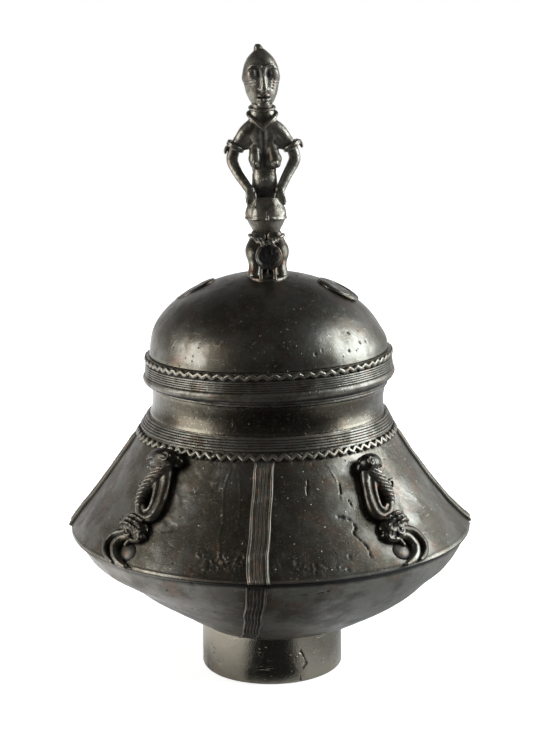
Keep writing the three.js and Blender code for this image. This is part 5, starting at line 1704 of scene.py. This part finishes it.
def add_node(tree, kind, values):
    """Adds a node: links the inputs whose value is a socket, and sets its other inputs and its properties."""
    node = tree.nodes.new(kind)
    for key, value in values.items():
        if isinstance(value, bpy.types.NodeSocket):
            tree.links.new(value, node.inputs[key])
        elif isinstance(key, int) or key in node.inputs:
            node.inputs[key].default_value = value
        else:
            setattr(node, key, value)
    return node


def add_rows(tree, found, table, rows):
    """Adds a node for each row of [name, *values]. Its output is kept in found, and later rows name it."""
    kind, output, settings, keys = table
    for name, *row in rows:
        values = {key: found.get(value, value) for key, value in zip(keys, row)}
        found[name] = add_node(tree, kind, {**settings, **values}).outputs[output]


# Tables of nodes: kind, output, settings that all rows share, and the keys of a row's values
WHITE = (1, 1, 1, 1)
NOISES = ("ShaderNodeTexNoise", "Fac", {}, ("Vector", "Scale", "Detail", "Roughness"))
CELLS = ("ShaderNodeTexVoronoi", "Distance", {}, ("Vector", "Scale"))
RANGES = ("ShaderNodeMapRange", "Result", {"interpolation_type": "SMOOTHSTEP"},
          ("Value", "From Min", "From Max", "To Min", "To Max"))
SUMS = ("ShaderNodeMath", "Value", {}, ("operation", 0, 1, 2))
# Inputs 0, 6 and 7 and output 2 of the Mix node are those for colours
BLENDS = ("ShaderNodeMix", 2, {"data_type": "RGBA"}, (0, 6, 7))
GLOWS = ("ShaderNodeEmission", "Emission", {"Color": WHITE}, ("Strength",))
BACKGROUNDS = ("ShaderNodeBackground", "Background", {"Color": WHITE}, ("Strength",))
ADDED = ("ShaderNodeAddShader", "Shader", {}, (0, 1))
CHOSEN = ("ShaderNodeMixShader", "Shader", {}, (0, 1, 2))


def per_mm(size):
    """Noise scale, in metres of object space, for marks of a size in millimetres."""
    return 1 / (size * MM)


def bronze_finish(name, colours, roughness, mottle, warmth, wear, grain, grain_depth, pits, scratches,
                  brightness, film, polish, black):
    """Cast bronze under a dark patina. Sizes and depths are in millimetres."""
    material = bpy.data.materials.new(name)
    material.use_nodes = True
    tree = material.node_tree
    tree.nodes.clear()
    place = add_node(tree, "ShaderNodeTexCoord", {}).outputs["Object"]
    found = {"place": place}
    for key in ("edge", "grime"):
        found[key] = add_node(tree, "ShaderNodeAttribute", {"attribute_name": key}).outputs["Fac"]
    # Where the noises are read: shifted against each other, and drawn out for upright and level scratches
    moves = {"bloom": (0.37, 1), "level": (0.21, (0.1, 0.1, 2.4)), "patches": (0.11, 1), "dust": (0.61, 1),
             "dusty": (0.43, 1), "smears": (0.5, 1), "dents": (0.8, 1), "upright": (0, (2.2, 2.2, 0.09))}
    for key, (shift, stretch) in moves.items():
        scale = (1, 1, 1) if stretch == 1 else stretch
        moved = {"Vector": place, "Location": (shift, shift, shift), "Scale": scale}
        found[f"at_{key}"] = add_node(tree, "ShaderNodeMapping", moved).outputs["Vector"]
    add_rows(tree, found, NOISES, [
        ("clouds", "place", per_mm(mottle), 5, 0.62),
        ("bloom", "at_bloom", per_mm(mottle * 0.55), 4, 0.6),
        ("specks", "place", per_mm(0.9), 2, 0.55),
        ("upright", "at_upright", per_mm(1), 2, 0.55),
        ("level", "at_level", per_mm(1), 2, 0.55),
        ("patches", "at_patches", per_mm(7), 2, 0.55),
        ("dust", "at_dust", per_mm(1.6), 4, 0.7),
        ("dusty", "at_dusty", per_mm(14), 3, 0.55),
        ("smears", "at_smears", per_mm(2.6), 3, 0.55),
        ("grain", "place", per_mm(grain), 3, 0.6),
        ("dents", "at_dents", per_mm(4.5), 3, 0.55),
    ])
    # Flecks of bright metal and pits: each is near the middle of a cell, and only some cells have one
    add_rows(tree, found, CELLS, [("flecks", "place", per_mm(2.7)), ("pits", "place", per_mm(3.2))])
    for key, cells, colour in (("few", "flecks", 1), ("rare", "pits", 0)):
        random = {"Color": found[cells].node.outputs["Color"]}
        found[key] = add_node(tree, "ShaderNodeSeparateColor", random).outputs[colour]
    add_rows(tree, found, RANGES, [
        ("clouds", "clouds", 0.56 - 0.28 * brightness, 0.76 - 0.28 * brightness),
        ("bloom", "bloom", 0.52, 0.7),
        ("specks", "specks", 0.58, 0.7),
        ("few", "few", 0.8, 0.84),
        ("flecks", "flecks", 0.08, 0.2, 1.0, 0.0),
        ("upright", "upright", 0.66, 0.72),
        ("level", "level", 0.67, 0.73),
        ("patches", "patches", 0.45, 0.62),
        ("rare", "rare", 0.74, 0.8),
        ("pits", "pits", 0.09, 0.17, 1.0, 0.0),
        ("dust", "dust", 0.6, 0.68),
        ("dusty", "dusty", 0.48, 0.64),
        ("crests", "edge", 0.58, 1.0),
        # Darkened hollows, where the surface sinks in: grime and painted shade
        ("hollow_shade_and_grime", "edge", 0.44, 0.12),
    ])
    add_rows(tree, found, SUMS, [
        ("bloom", "MULTIPLY", "bloom", warmth),
        ("specks", "MULTIPLY", "specks", 0.3),
        ("flecks", "MULTIPLY", "flecks", "few"),
        ("flecks", "MULTIPLY", "flecks", pits),
        ("scored", "MAXIMUM", "upright", "level"),
        ("scored", "MULTIPLY", "scored", "patches"),
        ("scored", "MULTIPLY", "scored", scratches),
        ("pits", "MULTIPLY", "pits", "rare"),
        ("pits", "MULTIPLY", "pits", pits),
        ("dust", "MULTIPLY", "dust", "dusty"),
        ("dust", "MULTIPLY", "dust", pits),
        ("crests", "MULTIPLY", "crests", wear),
        ("dark", "MAXIMUM", "hollow_shade_and_grime", "grime"),
        ("dark", "MAXIMUM", "dark", "pits"),
        ("dark", "MINIMUM", "dark", 1.0),
        ("polish", "MULTIPLY", "clouds", polish),
        ("bare", "MAXIMUM", "specks", "flecks"),
        ("bare", "MAXIMUM", "bare", "scored"),
        # Roughness
        ("shine", "MULTIPLY_ADD", "clouds", -0.09, roughness + 0.05),
        ("shine", "SUBTRACT", "shine", 0.06),
        ("shine", "MULTIPLY_ADD", "smears", 0.12, "shine"),
        ("shine", "MULTIPLY_ADD", "dark", 0.3, "shine"),
        ("shine", "MULTIPLY_ADD", "crests", -0.08, "shine"),
        # Height of the surface, in mm
        ("height", "MULTIPLY", "grain", grain_depth),
        ("height", "MULTIPLY_ADD", "dents", 0.12, "height"),
        ("height", "MULTIPLY_ADD", "flecks", 0.12, "height"),
        ("height", "MULTIPLY_ADD", "scored", -0.05, "height"),
        ("height", "MULTIPLY_ADD", "pits", -0.35, "height"),
        # Dirt, painted shade and dust are hardly metallic
        ("cover", "MAXIMUM", "dark", "dust"),
        ("metal", "MULTIPLY_ADD", "cover", film - 0.8, 1.0 - film),
    ])
    # Layers of colour over the patina, from the lowest up
    found["colour"] = (*colours["patina"], 1.0)
    for factor, tint in (("clouds", "satin"), ("polish", "worn"), ("bloom", "warm"), ("bare", "worn"),
                         ("dust", "dust"), (black, "grime"), ("crests", "worn"), ("dark", "grime")):
        if factor and (factor != "polish" or polish):
            add_rows(tree, found, BLENDS, [("colour", factor, "colour", (*colours[tint], 1.0))])
    bump = add_node(tree, "ShaderNodeBump", {"Strength": 1.0, "Distance": MM, "Height": found["height"]})
    shader = add_node(tree, "ShaderNodeBsdfPrincipled", {
        "Base Color": found["colour"],
        "Roughness": found["shine"],
        "Metallic": found["metal"],
        "Normal": bump.outputs["Normal"],
    })
    add_node(tree, "ShaderNodeOutputMaterial", {"Surface": shader.outputs["BSDF"]})
    return material


# Finish by where it's used: name, roughness, size of the mottling, warmth, wear, size and depth of the grain,
# pits, scratches, brightness, film of dirt, polish and blackening
FINISHES = {
    # Lost-wax cast wall, left as cast and darkened by smoke: satin with pits, flecks, dust and scratches
    "wall": ("bronze_cast_wall", 0.38, 18, 0.35, 0.15, 0.8, 0.06, 0.9, 0.7, 0.44, 0.05, 0, 0),
    # Underside of the bowl, wiped by hands that lift the pot: a clearer, lighter skin
    "under": ("bronze_wiped_underside", 0.42, 20, 0.5, 0.2, 0.8, 0.05, 0.8, 0.6, 0.7, 0.4, 0, 0),
    # Foot, cast with the wall and rubbed by standing: smoother, with a brighter skin
    "foot": ("bronze_cast_foot", 0.24, 26, 0.2, 0.3, 0.9, 0.12, 0.7, 1.0, 1.0, 0.02, 0.75, 0),
    # Dome of the lid, polished by hands lifting it: an even, soft sheen
    "dome": ("bronze_handled_dome", 0.36, 20, 0.4, 0.2, 0.8, 0.04, 0.6, 0.5, 0.5, 0.05, 0, 0),
    # Neck and flange, scraped smooth in the wax: the calmest sheen
    "smooth": ("bronze_scraped_neck", 0.24, 11, 0.2, 0.2, 0.7, 0.04, 0.4, 0.5, 0.12, 0.02, 0, 0),
    # Threads of wax laid on and cast: crests worn, grooves full of soot and brown earth and darkened with
    # painted shade
    "thread": ("bronze_laid_thread", 0.4, 8, 0.6, 0.35, 0.6, 0.07, 0.6, 0.3, 0.7, 0.1, 0, 0),
    # Ribs of laid wires, drier and browner than the wall
    "rib": ("bronze_laid_wire_rib", 0.44, 8, 0.8, 0.3, 0.8, 0.08, 0.5, 0.2, 0.15, 0.15, 0, 0),
    # Modelled animals where hands rubbed them: brown and glossy
    "animal": ("bronze_rubbed_animal", 0.34, 9, 0.8, 0.4, 0.5, 0.04, 0.1, 0.0, 0.5, 0.1, 0, 0),
    # Heads and haunches of the animals: black and glossy, with glints on the knobs
    "black": ("bronze_blackened_animal", 0.3, 9, 0.5, 0.45, 0.5, 0.03, 0.1, 0.0, 0.4, 0.05, 0, 0.5),
    # Modelled figure, often held: light on the bulges and black in the hollows, with grime and painted shade
    "figure": ("bronze_modelled_figure", 0.38, 6, 0.5, 0.2, 0.5, 0.03, 0.3, 0.2, 0.65, 0.16, 0.25, 0),
    # Rings and cord on the figure, rubbed the brightest
    "rubbed": ("bronze_rubbed_ring", 0.38, 5, 0.6, 0.4, 0.5, 0.03, 0.1, 0.1, 0.8, 0.15, 0, 0),
    # Round plates with coppery worn rims
    "disc": ("bronze_worn_plate", 0.36, 7, 0.8, 0.5, 0.6, 0.05, 0.3, 0.3, 0.5, 0.05, 0, 0),
}


# Stage

# Half the floor's side, in metres
FLOOR_REACH = 3.0


def make_floor():
    """A wide pale floor that keeps the shadow and fades into the white backdrop."""
    mesh = bpy.data.meshes.new("floor")
    corners = [(x * FLOOR_REACH, y * FLOOR_REACH, 0) for x, y in ((-1, -1), (1, -1), (1, 1), (-1, 1))]
    mesh.from_pydata(corners, [], [[0, 1, 2, 3]])
    floor = bpy.data.objects.new("floor", mesh)
    bpy.context.scene.collection.objects.link(floor)
    material = bpy.data.materials.new("paper_matte_white")
    material.use_nodes = True
    tree = material.node_tree
    tree.nodes.clear()
    ray = add_node(tree, "ShaderNodeLightPath", {}).outputs
    place = add_node(tree, "ShaderNodeTexCoord", {}).outputs["Object"]
    where = add_node(tree, "ShaderNodeSeparateXYZ", {"Vector": place}).outputs
    away = add_node(tree, "ShaderNodeVectorMath", {"operation": "LENGTH", 0: place}).outputs["Value"]
    found = {"eye": ray["Is Camera Ray"], "mirror": ray["Is Glossy Ray"], "x": where["X"], "y": where["Y"],
             "away": away}
    add_rows(tree, found, SUMS, [
        ("forward", "MULTIPLY", "y", -1.0),
        ("forward", "MAXIMUM", "forward", 0.001),
        ("sideways", "ABSOLUTE", "x"),
        ("sideways", "DIVIDE", "sideways", "forward"),
    ])
    # In the bronze's reflections the floor just in front of the pot, far in front of it and to the right is
    # painted dark. Beside the pot, on the left above all, the floor glows in reflections only: a painted
    # reflection that the underside mirrors.
    add_rows(tree, found, RANGES, [
        ("gap", "y", -0.044, -0.034, 1.0, 0.0),
        ("spread", "sideways", 0.4, 0.85, 0.98, 0.0),
        ("far", "y", -0.24, -0.14, 0.98, 0.0),
        ("right", "x", 0.03, 0.07, 0.0, 0.5),
        ("left_reflected_glow", "x", -0.02, -0.11, 0.05, 1.0),
        ("right_reflected_glow", "x", 0.1, 0.15, 0.0, 0.6),
        ("glow", "away", 0.06, 0.4, 0.6, 1.0),
    ])
    add_rows(tree, found, SUMS, [
        ("gap", "MULTIPLY", "gap", "spread"),
        ("dark", "MAXIMUM", "gap", "far"),
        ("dark", "MAXIMUM", "dark", "right"),
        ("grey", "MULTIPLY", "dark", "mirror"),
        ("grey", "MULTIPLY_ADD", "grey", -0.8, 0.8),
        ("beside", "ADD", "left_reflected_glow", "right_reflected_glow"),
        ("lit", "SUBTRACT", 1.0, "dark"),
        ("lit", "MULTIPLY", "beside", "lit"),
    ])
    found["paper"] = add_node(tree, "ShaderNodeBsdfDiffuse", {"Color": found["grey"]}).outputs["BSDF"]
    # The glow beside the pot is light painted on the floor for reflections only
    add_rows(tree, found, GLOWS, [("glow", "glow"), ("lit", "lit")])
    add_rows(tree, found, ADDED, [("mirrored", "paper", "lit"), ("seen", "paper", "glow")])
    add_rows(tree, found, CHOSEN, [("plain", "mirror", "paper", "mirrored"), ("all", "eye", "plain", "seen")])
    add_node(tree, "ShaderNodeOutputMaterial", {"Surface": found["all"]})
    mesh.materials.append(material)


def make_world(stage):
    """White backdrop behind the pot for the eye and for reflections, and a dim room in front of it."""
    world = bpy.data.worlds.new("studio")
    bpy.context.scene.world = world
    world.use_nodes = True
    tree = world.node_tree
    tree.nodes.clear()
    ray = add_node(tree, "ShaderNodeLightPath", {}).outputs
    direction = add_node(tree, "ShaderNodeTexCoord", {}).outputs["Generated"]
    way = add_node(tree, "ShaderNodeSeparateXYZ", {"Vector": direction}).outputs
    found = {"eye": ray["Is Camera Ray"], "mirror": ray["Is Glossy Ray"], "glass": ray["Is Transmission Ray"],
             "y": way["Y"], "z": way["Z"]}
    add_rows(tree, found, RANGES, [
        ("behind", "y", 0.1, 0.75, stage["room"], 0.85),
        ("overhead", "z", 0.2, 0.6, 1.0, stage["room"]),
    ])
    add_rows(tree, found, SUMS, [("mirrored", "MINIMUM", "behind", "overhead")])
    add_rows(tree, found, BACKGROUNDS, [("white", 1.0), ("mirrored", "mirrored"), ("fill", 0.4)])
    add_rows(tree, found, CHOSEN, [
        ("room", "mirror", "fill", "mirrored"),
        ("room", "glass", "room", "white"),
        ("all", "eye", "room", "white"),
    ])
    add_node(tree, "ShaderNodeOutputWorld", {"Surface": found["all"]})


def make_softbox(name, place, target, width, height, power, colour):
    """A rectangular lamp at a place, turned towards its target. All lengths are in metres."""
    lamp = bpy.data.lights.new(name, "AREA")
    lamp.color = colour
    lamp.shape = "RECTANGLE"
    lamp.size, lamp.size_y, lamp.energy = width, height, power
    box = bpy.data.objects.new(name, lamp)
    bpy.context.scene.collection.objects.link(box)
    box.location = place
    box.rotation_euler = (Vector(target) - Vector(place)).to_track_quat("-Z", "Y").to_euler()
    box.visible_camera = False


def make_camera(stage):
    """The camera, where the photograph was taken from."""
    camera = bpy.data.cameras.new("photograph")
    camera.sensor_width = 36
    camera.lens = stage["lens"]
    view = bpy.data.objects.new("photograph", camera)
    bpy.context.scene.collection.objects.link(view)
    view.location = (stage["aside"] * MM, -stage["distance"] * MM, stage["height"] * MM)
    tipped = Euler((math.radians(90) - stage["pitch"], 0, 0)).to_matrix()
    rolled = Euler((0, 0, stage["roll"])).to_matrix()
    view.rotation_euler = (tipped @ rolled).to_euler()
    bpy.context.scene.camera = view


# Operators: one for each group of pieces, and one for the stage


def finishes():
    """The bronze finishes by where each is used, made once."""
    if not hasattr(finishes, "made"):
        colours = sizes("bronze_settings")
        finishes.made = {use: bronze_finish(row[0], colours, *row[1:]) for use, row in FINISHES.items()}
    return finishes.made


class POT_OT_wall(bpy.types.Operator):
    """Make the foot, the bowl, the neck and its rim"""

    bl_idname = "ointment_pot.wall"
    bl_label = "Foot, bowl and neck"

    def execute(self, context):
        pot = sizes("pot_settings")
        for make in (make_foot, make_lower_bowl, make_upper_bowl, make_neck, make_neck_rim):
            make(pot, finishes())
        return {"FINISHED"}


class POT_OT_threads(bpy.types.Operator):
    """Lay the wound threads and the zigzag round the top of the wall"""

    bl_idname = "ointment_pot.threads"
    bl_label = "Collar threads"

    def execute(self, context):
        make_collar_ridges(sizes("pot_settings"), finishes())
        make_collar_zigzag(sizes("pot_settings"), finishes())
        return {"FINISHED"}


class POT_OT_ribs(bpy.types.Operator):
    """Lay the four ribs down the wall"""

    bl_idname = "ointment_pot.ribs"
    bl_label = "Ribs"

    def execute(self, context):
        make_ribs(sizes("pot_settings"), finishes())
        return {"FINISHED"}


class POT_OT_animals(bpy.types.Operator):
    """Model the four climbing animals"""

    bl_idname = "ointment_pot.animals"
    bl_label = "Animals"

    def execute(self, context):
        make_animals(sizes("pot_settings"), sizes("animal_settings"), finishes())
        return {"FINISHED"}


class POT_OT_lid(bpy.types.Operator):
    """Make the lid's flange, band, zigzag, dome and plates"""

    bl_idname = "ointment_pot.lid"
    bl_label = "Lid"

    def execute(self, context):
        pot, lid, bronze = sizes("pot_settings"), sizes("lid_settings"), finishes()
        make_lid_flange(pot, bronze)
        make_lid_band(pot, lid, bronze)
        make_lid_zigzag(pot, lid, bronze)
        make_lid_dome(pot, lid, bronze)
        make_lid_discs(lid, bronze)
        return {"FINISHED"}


class POT_OT_figure_stand(bpy.types.Operator):
    """Model the figure's base, legs, dish and hips"""

    bl_idname = "ointment_pot.figure_stand"
    bl_label = "Figure below the waist"

    def execute(self, context):
        for make in (make_figure_base, make_figure_legs, make_figure_dish, make_figure_hips):
            make(sizes("figure_settings"), finishes())
        return {"FINISHED"}


class POT_OT_figure_body(bpy.types.Operator):
    """Model the figure's torso, arms, rings and head"""

    bl_idname = "ointment_pot.figure_body"
    bl_label = "Figure above the waist"

    def execute(self, context):
        for make in (make_figure_torso, make_figure_arms, make_figure_collar, make_figure_head):
            make(sizes("figure_settings"), finishes())
        return {"FINISHED"}


class POT_OT_stage(bpy.types.Operator):
    """Set the floor, the lamps, the backdrop and the camera"""

    bl_idname = "ointment_pot.stage"
    bl_label = "Stage"

    def execute(self, context):
        stage = sizes("stage_settings")
        make_floor()
        make_world(stage)
        target = (0, 0, 0.15)
        make_softbox("softbox_left", (-1.0, -0.27, 0.35), target, 0.7, 0.8, stage["left_power"], (1, 1, 1))
        make_softbox("softbox_right", (1.0, 0.06, 0.45), target, 0.78, 1.0, stage["right_power"],
                     (0.87, 0.94, 1))
        make_camera(stage)
        context.scene.view_settings.view_transform = "Standard"
        return {"FINISHED"}


class POT_PT_panel(bpy.types.Panel):
    """Lists the steps that make the ointment pot"""

    bl_label = "Ointment Pot"
    bl_idname = "POT_PT_panel"
    bl_space_type = "VIEW_3D"
    bl_region_type = "UI"
    bl_category = "Ointment Pot"

    def draw(self, context):
        for step in STEPS:
            self.layout.operator(step.bl_idname)


STEPS = [POT_OT_wall, POT_OT_threads, POT_OT_ribs, POT_OT_animals, POT_OT_lid, POT_OT_figure_stand,
         POT_OT_figure_body, POT_OT_stage]
CLASSES = [*SETTINGS.values(), *STEPS, POT_PT_panel]


def register():
    for item in CLASSES:
        bpy.utils.register_class(item)
    for name, group in SETTINGS.items():
        setattr(bpy.types.Scene, name, PointerProperty(type=group))


def unregister():
    for name in SETTINGS:
        delattr(bpy.types.Scene, name)
    for item in reversed(CLASSES):
        bpy.utils.unregister_class(item)


def main():
    """Makes every piece and the stage."""
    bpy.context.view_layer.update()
    register()
    for step in STEPS:
        group, name = step.bl_idname.split(".")
        getattr(getattr(bpy.ops, group), name)()
    bpy.context.view_layer.update()


if __name__ == "__main__":
    main()
